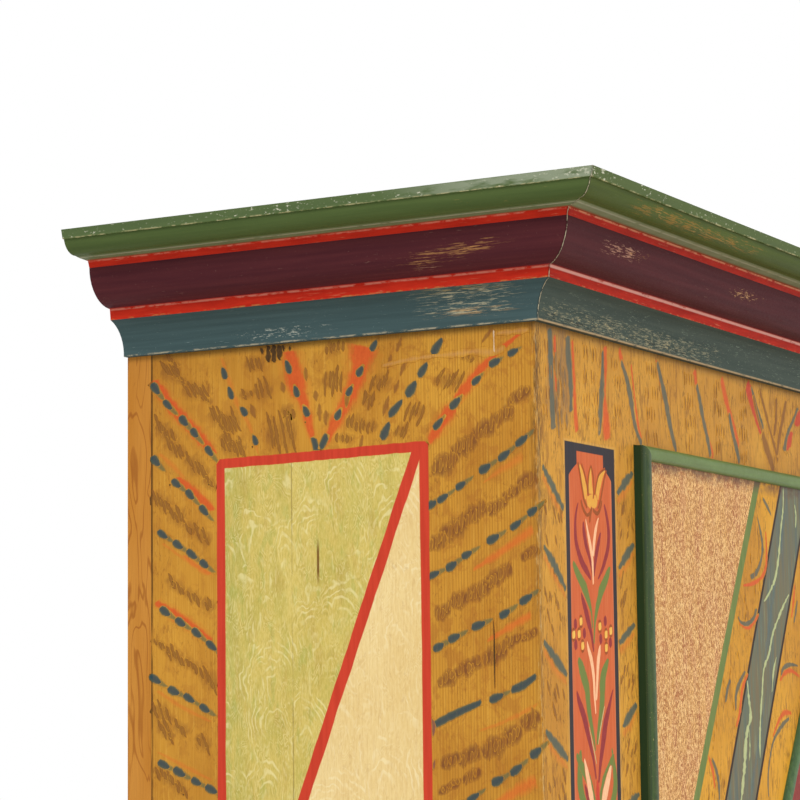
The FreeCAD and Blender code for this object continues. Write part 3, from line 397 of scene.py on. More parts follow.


# the pinkish lines along the tops of the red fillets (d8946e, d8826a, efb8a8, dd8d78) and the pale
# grey-green line on the crown's lower arris (a7a98e) are painted highlights; the ochre and cream lines
# are worn paint
LIP_EDGES = ((123.3, 1923, "b8ae80", 1.0, 0.52), (92, 1906.8, "a7a98e", 1.3, 0.4))
CORNICE = (             # heights and reaches are those of the profile
    ("green_crown_front", "55622f", "4b572c", CROWN_Z,
     (*LIP_EDGES, (76.2, 1905.4, "d8946e", 1.0, 0.46)),
     ((-20, 330, 1908, 1921, "9a7434", 26, 0.55), (0, 290, 1908, 1920, "b08d4c", 20, 0.61),
      (900, 1500, 1909, 1920, "9a7a3a", 20, 0.6)), "8f8a52", 1, 0.0, 0.6),
    ("green_crown_returns", "57683a", "4d5e34", CROWN_Z,
     (*LIP_EDGES, (76.2, 1905.4, "d8826a", 1.0, 0.5)),
     ((-90, 60, 1908, 1920, "a08a4a", 18, 0.64),), "8f8a52", 2, 0.0, 0.35),
    ("plum_ovolo_front", "58292c", "4a2125", OVOLO_Z,
     ((34.6, 1857.0, "efb8a8", 1.5, 0.36), (33.4, 1846.6, "c08a58", 0.6, 0.58)),
     ((10, 118, 1874, 1890, "b98a72", 14, 0.55), (78, 116, 1878, 1888, "dba35c", 8, 0.54),
      (350, 450, 1874, 1886, "c99a68", 12, 0.56), (1000, 1300, 1866, 1890, "a9826a", 12, 0.6)),
     "9c7a6c", 11),
    ("plum_ovolo_returns", "5c2c30", "4e242a", OVOLO_Z,
     ((34.6, 1857.0, "dd8d78", 1.0, 0.46), (33.4, 1846.6, "b9874e", 0.7, 0.56)),
     ((-10, 130, 1872, 1890, "a8784c", 34, 0.57), (5, 74, 1876, 1886, "d49c5c", 40, 0.55),
      (60, 170, 1869, 1877, "a87e68", 34, 0.6)), "9c7a6c", 12, 0.1),
    ("blue_cove_front", "4b554c", "3e4942", None, ((7.7, 1808.8, "b89c74", 1.1, 0.4),),
     ((-10, 480, 1808, 1832, "8f8a70", 13, 0.56), (-10, 400, 1808, 1826, "b5a67c", 9, 0.6),
      (0, 460, 1807, 1820, "30302a", 16, 0.57), (0, 1640, 1809, 1845, "7f8a78", 10, 0.64)),
     "8f9582", 21),
    ("blue_cove_returns", "4a5f60", "405354", None, ((7.7, 1808.8, "b0a68c", 0.9, 0.5),),
     ((10, 125, 1818, 1848, "b9b294", 24, 0.54), (30, 100, 1820, 1826, "d6a667", 30, 0.48),
      (20, 115, 1840, 1849, "a8905a", 20, 0.52), (235, 350, 1811, 1826, "b9bcae", 8, 0.58)),
     "8fa09c", 22),
)


def paint_cornice():
    for name, *look in CORNICE:
        assign(moulding_paint(name, *look), "cornice_" + name.split("_", 1)[1])


def comb_arcs(p, colour, across, light, dark, seed, strength=0.62):
    """Arcs drawn in wet paint with a comb: fans in places, curling lines between them."""
    warp = p.noise((42, 42, 60), 3, seed + 61, 0.6)
    place = (across * (1 / 44) + warp * 0.7, 0.0, p.z * (1 / 66) + warp * 0.7)
    node = p.cells(*place)
    centre = p.parts(node.outputs["Position"])
    above = place[2] - centre[2] + (place[0] - centre[0]) * 0.7
    far = Term(p, node.outputs["Distance"])
    rings = p.math("SINE", far * 58 + warp * 9)
    patchy = p.blots(0.5, 0.07, (20, 20, 30), 3, seed + 62, 0.7)
    part = p.both(p.step(above, 0.02, 0.1), p.step(far, 0.22, 0.08), patchy)
    curl = p.noise((20, 20, 50), 2, seed + 64, 0.5, 1.6)
    curls = p.math("SINE", curl * 70)
    others = p.blots(0.5, 0.07, (16, 16, 26), 3, seed + 65, 0.7) * (1 - part)
    fine = p.noise((1.8, 1.8, 7), 3, seed + 63, 0.7)
    colour = p.mix(p.step(fine, 0.57, 0.1) * strength * 0.5, colour, dark)
    colour = p.mix(p.below(fine, 0.42, 0.1) * strength * 0.36, colour, light)
    colour = p.mix(p.both(part, p.step(rings, 0.55, 0.3)) * strength, colour, light)
    colour = p.mix(p.both(others, p.step(curls, 0.62, 0.3)) * strength * 0.6, colour, light)
    return p.mix(p.both(others, p.below(curls, -0.7, 0.25)) * strength * 0.5, colour, dark)


SIDE_EDGE = (124.0, 383.5)      # red line of the panel, from the front corner back
SIDE_HALF = 627.0               # half the height of the panel
SIDE_LINE = 10.5                # width of that line
DIAMOND, SIDE_SLOPE = 380.7, 2.556      # the half diamond's depth at its middle, and its slope
TOP_SLANT = 0.022               # the panel's top edge rises towards the front


def side_ground(p, depth):
    """The ochre margins of a side: combed up and down, faintly mottled, with painted shade under the
    cornice.
    """
    colour, fine = ochre_ground(p, 1)
    comb = p.math("SINE", depth * 1.9 + p.noise((9, 9, 220), 2, 5) * 9)
    near = p.both(p.step(comb, 0.35, 0.3), p.below(depth, 150, 60),
                  p.blots(0.38, 0.1, (5, 5, 90), 3, 7))
    colour = p.mix(near * 0.4, colour, "97611f")
    far = 1 - p.step(depth, 240, 60) * 0.4
    colour = brown_marks(p, colour, far, 2, (16, 16, 20), "a86a28", 0.56, 0.5)
    colour = brown_marks(p, colour, p.blots(0.5, 0.1, (40, 40, 40), 2, 4), 3, (3, 3, 9),
                         "8a5522", 0.6, 0.5)
    corner = p.below(depth, 5, 4) * p.blots(0.5, 0.08, (3, 3, 26), 4, 6, 0.7)
    colour = p.mix(corner * p.step(p.z, 1500, 200) * 0.8, colour, "5c4020")
    chips = p.below(depth, 3, 1) * p.blots(0.6, 0.06, (3, 3, 16), 4, 9, 0.7)
    colour = p.mix(chips * 0.45, colour, "deb878")
    seam = p.step(depth, 466.6, 0.5) * p.blots(0.4, 0.1, (4, 4, 60), 3, 8)
    colour = p.mix(seam * 0.85, colour, "3d2713")
    # painted shade: darker just under the cornice
    under = p.step(p.z, 1803, 4) * 0.5
    return p.mix(under, colour, "5a4426"), fine


def side_panel(p, depth, high, colour):
    """The red-edged panel: green behind a red half diamond and cream in front of it."""
    wave = p.noise((14, 14, 90), 2, 7) * 2.4 - 1.2
    edge_depth, edge_high = depth + wave, high + wave - (SIDE_EDGE[1] - depth) * TOP_SLANT
    outer = p.band(edge_depth, *SIDE_EDGE) * p.below(edge_high, SIDE_HALF)
    inner = p.band(edge_depth, SIDE_EDGE[0] + SIDE_LINE, SIDE_EDGE[1] - SIDE_LINE)
    inner = inner * p.below(edge_high, SIDE_HALF - SIDE_LINE)
    diagonal = edge_depth + high * (1 / SIDE_SLOPE) - DIAMOND
    cloud = p.noise((60, 60, 120), 3, 8)
    green = p.mix(p.step(cloud, 0.5, 0.2), "dbc46c", "cdb55c")
    green = p.mix(p.blots(0.56, 0.09, (20, 20, 56), 3, 9) * 0.45, green, "b9ae54")
    green = p.mix(p.blots(0.61, 0.06, (12, 12, 30), 3, 11) * 0.4, green, "a3ab52")
    green = p.mix(p.blots(0.62, 0.06, (16, 16, 44), 3, 16) * 0.3, green, "b08c3e")
    green = p.mix(p.step(depth, 356, 18) * p.blots(0.45, 0.1, (9, 9, 60), 3, 10) * 0.5,
                  green, "979f4c")
    green = comb_arcs(p, green, depth, "f0e4a8", "93863c", 3, 0.5)
    crack = p.below(abs(depth - 289), 0.7, 0.4) * p.blots(0.46, 0.1, (9, 9, 40), 3, 12)
    green = p.mix(crack * 0.5, green, "6d5424")
    split = p.both(p.below(abs(depth - 257), 1.4, 0.6), p.band(p.z, 1555, 1592, 8))
    green = p.mix(split * 0.9, green, "6b3f16")
    cream = p.mix(p.step(cloud, 0.5, 0.25), "f1d79a", "e6c683")
    veins = p.noise((2.0, 2.0, 40), 4, 13, 0.6)
    cream = p.mix(p.step(veins, 0.58, 0.12) * 0.4, cream, "cfa566")
    cream = comb_arcs(p, cream, depth, "fbedc0", "cfab6a", 17, 0.36)
    cream = brown_marks(p, cream, p.noise((70, 70, 60), 2, 14), 5, (7, 7, 12), "b98a4c", 0.62, 0.45)
    field = p.mix(p.step(diagonal, 0, 0.4), cream, green)
    far = Term(p, p.cells(depth * (1 / 70), 0.0, p.z * (1 / 90)).outputs["Distance"])
    field = p.mix(p.below(far, 0.022, 0.006) * 0.85, field, "3a2413")
    red = tone(p, "d2432d", "c03a26", (5, 5, 70), 15)
    line = p.either(outer - inner, p.below(abs(diagonal), 6.6, 0.5) * outer)
    return p.mix(line, p.mix(inner, colour, field), red)


def bare(p, seed=0):
    """Colour of the unpainted back of a painted board."""
    fine = p.noise((1.6, 1.6, 70), 4, seed + 71, 0.6)
    cloud = p.noise((40, 40, 300), 3, seed + 72)
    colour = p.mix(p.step(cloud, 0.5, 0.25), "c99a5c", "a87a42")
    return p.mix(p.step(fine, 0.58, 0.14) * 0.4, colour, "7d5227")


def paint_sides():
    p = Paint("side_paint")
    depth, high = p.y - FRONT_Y, abs(p.z - MIDDLE_Z)
    ground, fine = side_ground(p, depth)
    painted = side_panel(p, depth, high, ground)
    outside = p.step(abs(p.x), HALF - 0.5, 0.1)
    colour = p.mix(outside, bare(p), painted)
    p.wood(colour, fine, 0.45)
    assign(p.material, "SIDE_side_boards")


def front_ground(p, seed, light="d69c38", dark="b97d2a"):
    """Ochre of the front: brown lines brushed up and down, broken into short dashes."""
    colour, fine = ochre_ground(p, seed, light, dark)
    colour = brown_marks(p, colour, p.blots(0.47, 0.08, (30, 30, 50), 2, seed + 1),
                         seed + 2, (5, 5, 26), "8a5822", 0.55, 0.6)
    colour = brown_marks(p, colour, p.blots(0.48, 0.06, (22, 22, 34), 2, seed + 3),
                         seed + 4, (2.4, 2.4, 10), "63401a", 0.59, 0.7)
    return colour, fine


def frontage(p):
    """The front of the case round the doors: worn at its corner, with painted shade under the cornice."""
    across = HALF - abs(p.x)
    ground, fine = front_ground(p, 20)
    corner = p.below(across, 7, 4) * p.blots(0.47, 0.08, (3, 3, 22), 4, 6, 0.7)
    ground = p.mix(corner * p.step(p.z, 1400, 300) * 0.7, ground, "54391c")
    chips = p.below(across, 6, 3) * p.blots(0.6, 0.06, (3, 3, 16), 4, 28, 0.7)
    ground = p.mix(chips * 0.5, ground, "e6c88a")
    # dark flecks of dirt by the corner, high up
    dirt_and_shade = p.below(across, 17, 9) * p.blots(0.52, 0.06, (2.6, 2.6, 13), 4, 29, 0.75)
    ground = p.mix(dirt_and_shade * p.step(p.z, 1600, 130) * 0.75, ground, "452c16")
    smudge = p.both(p.band(across, 26, 80, 6), p.step(p.z, 1715, 14),
                    p.blots(0.42, 0.12, (5, 5, 30), 3, 23))
    ground = p.mix(smudge * 0.6, ground, "86694a")
    # painted shade: darker just under the cornice
    return p.mix(p.step(p.z, 1802, 5) * 0.45, ground, "5c4526"), fine


LEAF_FAR = 581.0                 # the far edge of a door, out from the middle
PANEL = (65.0, 187.0)            # the pilaster, in from the corner of the case
PANEL_HALF = 631.0               # half its height


def coral_ground(p):
    """The coral field of the pilaster, brushed up and down."""
    coral = tone(p, "cf6435", "c3592c", (7, 7, 90), 25)
    streak = p.noise((1.6, 1.6, 60), 3, 26)
    return p.mix(p.step(streak, 0.58, 0.1) * 0.35, coral, "d8824e")


def paint_stiles():
    p = Paint("stile_paint")
    across, high = HALF - abs(p.x), abs(p.z - MIDDLE_Z)
    ground, fine = frontage(p)
    inset = p.math("MINIMUM", across - PANEL[0], PANEL[1] - across)
    down = PANEL_HALF - high
    inside = p.step(inset, 0, 0.4) * p.step(down, 0, 0.4)
    halo = p.step(inset, -3.4, 0.6) * p.step(down, -2.4, 0.5)
    bend = p.math("MINIMUM", p.math("MAXIMUM", (36 - down) / 14, 0.0), 1.0)
    shoulder = p.math("POWER", bend, 1.35) * 20 + 8.5
    block = p.below(inset - shoulder, 0, 0.4) * p.below(down, 36, 0.3)
    rim = p.either(p.below(inset, 9.0, 0.4), p.below(down, 8.6, 0.4))
    border = p.either(rim, block)
    navy = tone(p, "2c292f", "352b2c", (5, 5, 40), 24)
    coral = coral_ground(p)
    coral = p.mix(p.below(inset - 9.0, 2.2, 1.2) * 0.3, coral, "de9468")
    colour = p.mix(halo * 0.15, ground, "e0bd7c")
    colour = p.mix(inside, colour, p.mix(border, coral, navy))
    side = side_ground(p, p.y - FRONT_Y)[0]
    outside = p.step(abs(p.x), HALF - 0.5, 0.1)
    colour = p.mix(outside, colour, side)
    colour = p.mix(p.step(p.y, FRONT_Y + 0.5, 0.1) * (1 - outside), colour, bare(p))
    p.wood(colour, fine)
    assign(p.material, "SIDE_stile")


def paint_rails():
    p = Paint("rail_paint")
    ground, fine = frontage(p)
    behind = p.step(p.y, FRONT_Y + 0.5, 0.1)
    p.wood(p.mix(behind, ground, bare(p, 2)), fine)
    assign(p.material, "frieze_board", "waist_rail", "base_rail", "drawer_muntin")


def sponged(p, seed, base="d8a05a", dark="96582e", light="f4d092"):
    """Speckled paint, dabbed on with a sponge and pulled a little up and down."""
    cloud = p.noise((18, 18, 110), 3, seed + 81)
    grain = p.noise((1.6, 1.6, 3.4), 3, seed + 82, 0.9)
    rose = p.noise((13, 13, 50), 3, seed + 83)
    colour = p.mix(p.step(cloud, 0.5, 0.12), base, "cb9150")
    colour = p.mix(p.step(rose, 0.54, 0.08) * 0.6, colour, "b9704a")
    colour = p.mix(p.step(grain, 0.54, 0.03) * (cloud * 0.9 + 0.5), colour, dark)
    return p.mix(p.below(grain, 0.45, 0.03) * 0.95, colour, light)


def slate_ground(p):
    """The slate band across a door, brushed up and down over brown."""
    slate = p.mix(p.blots(0.5, 0.12, (5, 5, 90), 3, 46), "686d57", "76684c")
    slate = p.mix(p.blots(0.54, 0.1, (9, 9, 130), 3, 47) * 0.6, slate, "536362")
    return p.mix(p.blots(0.64, 0.05, (3, 3, 60), 3, 48) * 0.4, slate, "98a07c")


DOOR_OCHRE = ("dda02e", "c08222")
# where each line of a door stands at its middle, out from the doors' joint, and how it slopes
WEDGE_OUT, WEDGE_SLOPE = 594.5, 1.774
BAND_OUT, BAND_SLOPE = 501, 1.870
BAND_IN, BAND_IN_SLOPE = 407.5, 1.867
LOZENGE_OUT, CORE_OUT, LOZENGE_SLOPE = 347, 195, 1.582


def paint_leaves():
    p = Paint("leaf_paint")
    out, high = abs(p.x), abs(p.z - MIDDLE_Z)
    ground, fine = front_ground(p, 40, *DOOR_OCHRE)
    wave = p.noise((30, 30, 60), 2, 43) * 3.0 - 1.5
    green_line = out + wave * 0.5 + high * (1 / WEDGE_SLOPE) - WEDGE_OUT
    band_out = out + wave * 0.4 + high * (1 / BAND_SLOPE) - BAND_OUT
    band_in = out + wave * 0.4 + high * (1 / BAND_IN_SLOPE) - BAND_IN
    lozenge = out + high * (1 / LOZENGE_SLOPE) - LOZENGE_OUT
    colour = p.mix(p.step(green_line, 0, 0.5), ground, sponged(p, 44))
    leaf_green = tone(p, "74803f", "61743a", (9, 9, 60), 45)
    colour = p.mix(p.below(abs(green_line), 8.6, 0.6), colour, leaf_green)
    slate = slate_ground(p)
    in_band = p.step(band_in, 0, 0.5) * p.below(band_out, 0, 0.5)
    colour = p.mix(in_band, colour, slate)
    lines = p.either(p.below(abs(band_in), 3.0, 0.5), p.below(abs(band_out), 3.0, 0.5))
    colour = p.mix(lines, colour, "2e1d14")
    deep = tone(p, "963a33", "84302b", (20, 20, 120), 49)
    deep = comb_arcs(p, deep, out, "b35a4a", "6e2622", 50)
    thin = p.below(abs(lozenge + 24), 2.6, 0.5)
    deep = p.mix(thin, deep, "c2933f")
    core = out + high * (1 / LOZENGE_SLOPE) - CORE_OUT
    heart = sponged(p, 51, "6f7f5e", "3c4f3c", "a9ad7c")
    deep = p.mix(p.below(core, 0, 0.5), deep, heart)
    deep = p.mix(p.below(abs(core), 4.4, 0.5), deep, "c2933f")
    colour = p.mix(p.below(lozenge, 0, 0.5), colour, deep)
    # darker along the door's beads: painted shade where the beads stand proud, with some dirt in blots
    dirt_and_shade = p.either(p.step(out, 557, 5) * 0.35, p.step(high, 614, 6) * 0.75)
    colour = p.mix(dirt_and_shade * p.blots(0.42, 0.15, (16, 16, 9), 3, 52), colour, "5e3c34")
    face = p.below(p.y, LEAF_Y + 0.4, 0.1) * p.below(out, LEAF_FAR - 1, 0.2)
    edge = p.below(p.y, LEAF_Y + 25.6, 0.1)
    colour = p.mix(face, p.mix(edge, bare(p, 4), "24381f"), colour)
    p.wood(colour, fine)
    assign(p.material, "SIDE_door_leaf")


def bead_paint(name, main, deep, light, seed, level=None):
    """Green of a raised bead, rubbed on its crown. level gives its horizontal runs, which get a lighter
    green as painted light, as if they caught more light than the upright runs.
    """
    p = Paint(name)
    run = p.noise((3, 3, 120), 3, seed + 91)
    rub = p.noise((7, 7, 12), 4, seed + 92, 0.7)
    colour = p.mix(p.step(run, 0.5, 0.15), main, deep)
    if level:
        # painted light: the horizontal runs get a lighter green than the upright runs, as if lit from
        # above
        lit_runs = tone(p, "667f40", "5c7138", (60, 6, 6), seed + 94)
        inset = p.math("MINIMUM", LEAF_FAR - abs(p.x), abs(p.x) - 1)
        colour = p.mix(p.step(inset - (level - abs(p.z - MIDDLE_Z)), 0, 0.4), colour, lit_runs)
    crown = p.step(-p.y, 201.2, 1.6)
    colour = p.mix(p.both(crown, p.step(rub, 0.5, 0.12)) * 0.35, colour, light)
    colour = p.mix(p.blots(0.7, 0.03, (1.5, 1.5, 1.5), 2, seed + 93) * 0.6, colour, "a89a62")
    return p.finish(colour, p.step(rub, 0.5, 0.3) * 0.2 + 0.34, run, 0.2, 0.25)


BEAD_LEVEL = 640.0              # half the height of a door


def paint_beads():
    # the door bead's horizontal runs are painted lighter than its upright runs: painted light
    door = bead_paint("door_bead_paint", "3a4f28", "293a24", "64703f", 1, BEAD_LEVEL)
    lozenge = bead_paint("lozenge_bead_paint", "456238", "365130", "74905a", 2)
    assign(door, "SIDE_door_bead")
    assign(lozenge, "SIDE_lozenge_bead")


DRAWER_X, DRAWER_Z = 306, 284.2         # the middle of a drawer's front


def paint_drawers():
    p = Paint("drawer_paint")
    ground, fine = front_ground(p, 60)
    across, up = abs(abs(p.x) - DRAWER_X), abs(p.z - DRAWER_Z)
    wave = p.noise((30, 30, 30), 2, 61) * 1.6 - 0.8
    inset = p.math("MINIMUM", 236 - across, 62 - up) + wave
    colour = p.mix(p.step(inset, 0, 0.5), ground, sponged(p, 62))
    line = tone(p, "74803f", "61743a", (60, 9, 9), 63)
    colour = p.mix(p.below(abs(inset), 4.2, 0.5), colour, line)
    inset_bead = p.math("MINIMUM", 274.5 - across, 89.3 - up)
    bead = p.below(inset_bead, 16.2, 0.4)
    colour = p.mix(bead, colour, tone(p, "4b5b33", "394829", (40, 4, 4), 64))
    back = p.step(p.y, -186.5, 0.3)
    p.wood(p.mix(back, colour, bare(p, 6)), fine)
    assign(p.material, "SIDE_drawer_front")


# for each: its shades, their size, seed, scratches, where its red fillet starts, rubbed edges and painted
# highlights
# e0a48c along the top of each red fillet is a painted highlight; the other edge lines are worn paint
LOW_MOULDINGS = {
    "waist": (BLUE, BLUE_DEEP, (90, 6, 4), 70, ("a9b0a4", 0.64, 0.6, 0.54), 410.0,
              ((14, 417, "e0a48c", 1.2, 0.42), (14, 410, "b98a5a", 0.9, 0.5),
               (14, 384, "b5a888", 1.1, 0.46), (14, 377, "b5a888", 1.1, 0.5))),
    "base": (PLUM, PLUM_DEEP, (90, 6, 6), 75, ("a88a6c", 0.62, 0.7, 0.5), 182.0,
             ((12, 190, "e0a48c", 1.2, 0.42), (12, 182, "b98a5a", 0.9, 0.5),
              (30, 160, "b08c6c", 1.2, 0.46), (30, 130, "b08c6c", 1.2, 0.46))),
}


def paint_low_mouldings():
    for name, (main, deep, size, seed, worn, red_from, edges) in LOW_MOULDINGS.items():
        p = Paint(name + "_paint")
        colour = scratches(p, tone(p, main, deep, size, seed), "x", seed + 1, *worn)
        red = tone(p, RED, RED_DEEP, (40, 40, 5), seed + 2)
        colour = p.mix(p.step(p.z, red_from, 0.3), colour, red)
        colour = worn_edges(p, colour, edges, seed + 3)
        p.finish(colour, 0.45, p.noise((90, 2, 2), 3, seed + 4), 0.2, 0.2)
        assign(p.material, name + "_moulding")
    p = Paint("feet_paint")
    rub = p.noise((9, 9, 5), 4, 81, 0.7)
    low = p.below(p.z, 14, 12)
    colour = p.mix(p.step(rub + low * 0.14, 0.6, 0.04) * 0.85,
                   tone(p, GREEN, GREEN_DEEP, (40, 40, 12), 80), "a8834c")
    p.finish(colour, 0.42, p.noise((30, 30, 1.2), 3, 82), 0.3, 0.25)
    assign(p.material, "front_feet")


def iron(name):
    p = Paint(name)
    blot = p.noise((9, 9, 9), 4, 95, 0.7)
    fine = p.noise((1.2, 1.2, 1.2), 3, 96)
    colour = p.mix(p.step(blot, 0.56, 0.08), "2c2a28", "4a3022")
    colour = p.mix(p.step(fine, 0.62, 0.06) * 0.4, colour, "5b554c")
    p.shader.inputs["Metallic"].default_value = 0.75
    return p.finish(colour, p.step(blot, 0.5, 0.3) * 0.3 + 0.38, fine, 0.3, 0.5)


BACK_HALF, BACK_BOARDS = 798.0, 6       # half the width of the back, and how many boards it has


def paint_rest():
    """Bare wood inside and behind, the iron, and the knobs."""
    assign(post_wood(), "SIDE_back_post")
    assign(pine("pine_upright"), "rear_feet")
    assign(pine("pine_level", 20, "x"), "SIDE_door_battens", "SIDE_drawer_back",
           "SIDE_drawer_bottom", "case_bottom", "cupboard_floor", "case_top", "shelves",
           "upper_door_stop", "lower_door_stop")
    assign(pine("pine_inward", 40, "y"), "SIDE_drawer_sides", "shelf_cleats", "drawer_runners")
    assign(pine("pine_boards", boards=(BACK_HALF, 2 * BACK_HALF / BACK_BOARDS)), "back_boards")
    assign(iron("black_iron"), "lock_case", "lock_bolt", "lock_keeper", "key", "escutcheon",
           "upper_slide_bolt", "lower_slide_bolt", "slide_bolt_guides")
    assign(bead_paint("hinge_paint", "3f4c2b", "2f3a24", "6a6a48", 101),
           "SIDE_frame_hinges", "SIDE_door_hinges")
    p = Paint("knob_paint")
    rub = p.noise((5, 5, 5), 4, 97, 0.7)
    colour = p.mix(p.step(rub, 0.58, 0.04), tone(p, GREEN, GREEN_DEEP, (9, 9, 9), 98), "a87f48")
    p.finish(colour, 0.4, rub, 0.15, 0.25)
    assign(p.material, "SIDE_drawer_knobs")


# ------------------------------------------------------------------ strokes of the brush
SUNK = 0.1          # mm that a stroke reaches into the wood
LIFTS = {           # mm that each paint stands off the wood, the later ones over the earlier
    "dab": 0.02, "blot": 0.02, "leaf": 0.02, "faint": 0.065, "crimson": 0.065, "blue": 0.065,
    "thin": 0.11, "glow": 0.11, "yellow": 0.11, "orange": 0.155, "vein": 0.155, "streak": 0.20,
    "scarlet": 0.20, "finger": 0.245, "peach": 0.245, "moss": 0.29, "slate": 0.29, "russet": 0.29,
    "brown": 0.335, "dash": 0.335, "gold": 0.335, "teal": 0.38, "umber": 0.38, "smoke": 0.425,
    "purple": 0.425, "soot": 0.47, "scuff": 0.515, "white": 0.56}
LIFT_STEP, LIFT_STEPS = 0.0028, 16      # strokes of one paint that cross differ by a step
FLAT = 0.94                             # share of a stroke's width that lies flat


def smooth(route, step):
    """Points about a step apart, on a smooth curve through the points of a route."""
    ends = [route[0], *route, route[-1]]
    points = []
    for before, start, end, after in zip(ends, ends[1:], ends[2:], ends[3:]):
        count = max(1, round(math.dist(start[:2], end[:2]) / step))
        for index in range(count):
            t = index / count
            points.append([
                b + 0.5 * t * (c - a + t * (2 * a - 5 * b + 4 * c - d
                                            + t * (3 * b - a - 3 * c + d)))
                for a, b, c, d in zip(before, start, end, after)])
    points.append(list(route[-1]))
    return points


def stroke(points, width, head=0.5, tail=0.25):
    """A route whose width is full in its middle, and a share of that at its two ends."""
    shares = [1.0] * len(points)
    shares[0], shares[-1] = head, tail
    route = [(across, up, width * share) for (across, up), share in zip(points, shares)]
    if len(points) == 2:
        middle = [sum(pair) / 2 for pair in zip(*points)]
        route.insert(1, (*middle, width))
    return route


class Canvas:
    """A painted face. place(across, up, lift) gives its points, in millimetres, and ground(p)
    the colour that shows where a stroke runs thin."""

    def __init__(self, name, body, slot, place, ground, seed):
        self.name, self.body, self.slot, self.place, self.ground = name, body, slot, place, ground
        self.chance = random.Random(seed)
        self.layers = {}

    def ribbon(self, paint, route, rough=0.12, step=5):
        """One stroke: a thin closed slab with sloping edges, its bottom just in the wood."""
        points, faces, starts, rims = self.layers.setdefault(paint, ([], [], [], []))
        line = smooth(route, step)
        first = len(points)
        lift = LIFTS[paint] + LIFT_STEP * (len(starts) % LIFT_STEPS)
        starts.append(first)
        for index, (across, up, width) in enumerate(line):
            before, after = line[max(index - 1, 0)], line[min(index + 1, len(line) - 1)]
            run, rise = after[0] - before[0], after[1] - before[1]
            length = math.hypot(run, rise) or 1
            half = max(width, 0.6) / 2 * (1 + rough * self.chance.uniform(-1, 1))
            tip = index in (0, len(line) - 1)
            for share, height in ((1, -SUNK), (FLAT, lift), (0, lift), (-FLAT, lift), (-1, -SUNK)):
                points.append(self.place(across - rise / length * half * share,
                                         up + run / length * half * share, height))
                rims.append(1.0 if tip else abs(share))
        for index in range(len(line) - 1):
            low = first + 5 * index
            for side in range(5):
                other = (side + 1) % 5
                faces.append((low + side, low + other, low + 5 + other, low + 5 + side))
        faces.append(tuple(range(first, first + 5)))
        faces.append(tuple(range(len(points) - 1, len(points) - 6, -1)))

    def glaze(self, paint, edge, route):
        """A stroke with a wider and paler one under it."""
        for kind, wider in ((edge, 2.0), (paint, 1.3)):
            self.ribbon(kind, [(x, z, width * wider + 1) for x, z, width in route], 0.2, 6)

    def dab(self, across, up, wide, tall, slope, finger, lean=0.0, glaze="dab"):
        """A dab of glaze along its row, and the fingers that the bristles leave in it."""
        half = wide / 2 + 3
        blot = [(across + half * share, up + half * share * slope, (tall + 5) * width)
                for share, width in ((-1, 0.55), (-0.4, 1), (0.4, 1), (1, 0.55))]
        self.ribbon(glaze, blot, 0.3, 4)
        count = max(2, round(wide / 5))
        for index in range(count):
            here = across + wide * ((index + 0.5) / count - 0.5) + self.chance.uniform(-1.5, 1.5)
            level = up + (here - across) * slope + tall * self.chance.uniform(-0.25, 0.25)
            reach = tall * self.chance.uniform(0.35, 0.65)
            bow = self.chance.uniform(-2, 2)
            width = self.chance.uniform(3.5, 6.5)
            self.ribbon(finger, [(here - reach * lean, level + reach, 2), (here + bow, level, width),
                                 (here + reach * lean, level - reach, 2)], 0.3, 3)

    def dot(self, place, toward, length=15.5, width=11, tail=19):
        """A teal dot with a dark heart, and a mossy tail drawn towards a point."""
        (across, up), (to_across, to_up) = place, toward
        far = math.dist(place, toward) or 1
        run, rise = (to_across - across) / far, (to_up - up) / far
        length *= self.chance.uniform(0.85, 1.15)
        width *= self.chance.uniform(0.85, 1.1)

        def along(shares, size):
            return [(across + run * length * share, up + rise * length * share, size * part)
                    for share, part in shares]

        reach = tail / length
        self.ribbon("moss", along([(0.1, 0.8), (0.5 * reach, 0.7), (reach, 0.3)], width))
        body = [(-0.5, 0.3), (-0.36, 0.8), (-0.1, 1.0), (0.18, 0.85), (0.42, 0.5), (0.55, 0.2)]
        self.ribbon("teal", along(body, width), 0.06, 3)

    def string(self, points, length=15.5, width=11, tail=19):
        """A row of dots, each with its tail towards the next."""
        for index, place in enumerate(points):
            if index + 1 < len(points):
                toward = points[index + 1]
            else:
                before = points[index - 1]
                toward = (2 * place[0] - before[0], 2 * place[1] - before[1])
            self.dot(place, toward, length, width, tail)

    def build(self):
        for paint, (points, faces, _, rims) in self.layers.items():
            mesh = bpy.data.meshes.new(self.name + "_" + paint)
            mesh.from_pydata([[MM * value for value in point] for point in points], [], faces)
            mesh.attributes.new("rim", "FLOAT", "POINT").data.foreach_set("value", rims)
            shape = bmesh.new()
            shape.from_mesh(mesh)
            bmesh.ops.recalc_face_normals(shape, faces=shape.faces)
            shape.to_mesh(mesh)
            shape.free()
            piece = bpy.data.objects.new(self.name + "_" + paint, mesh)
            scene.collection.objects.link(piece)
            mesh.materials.append(brushed(self.ground, paint))
            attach(piece, self.body)


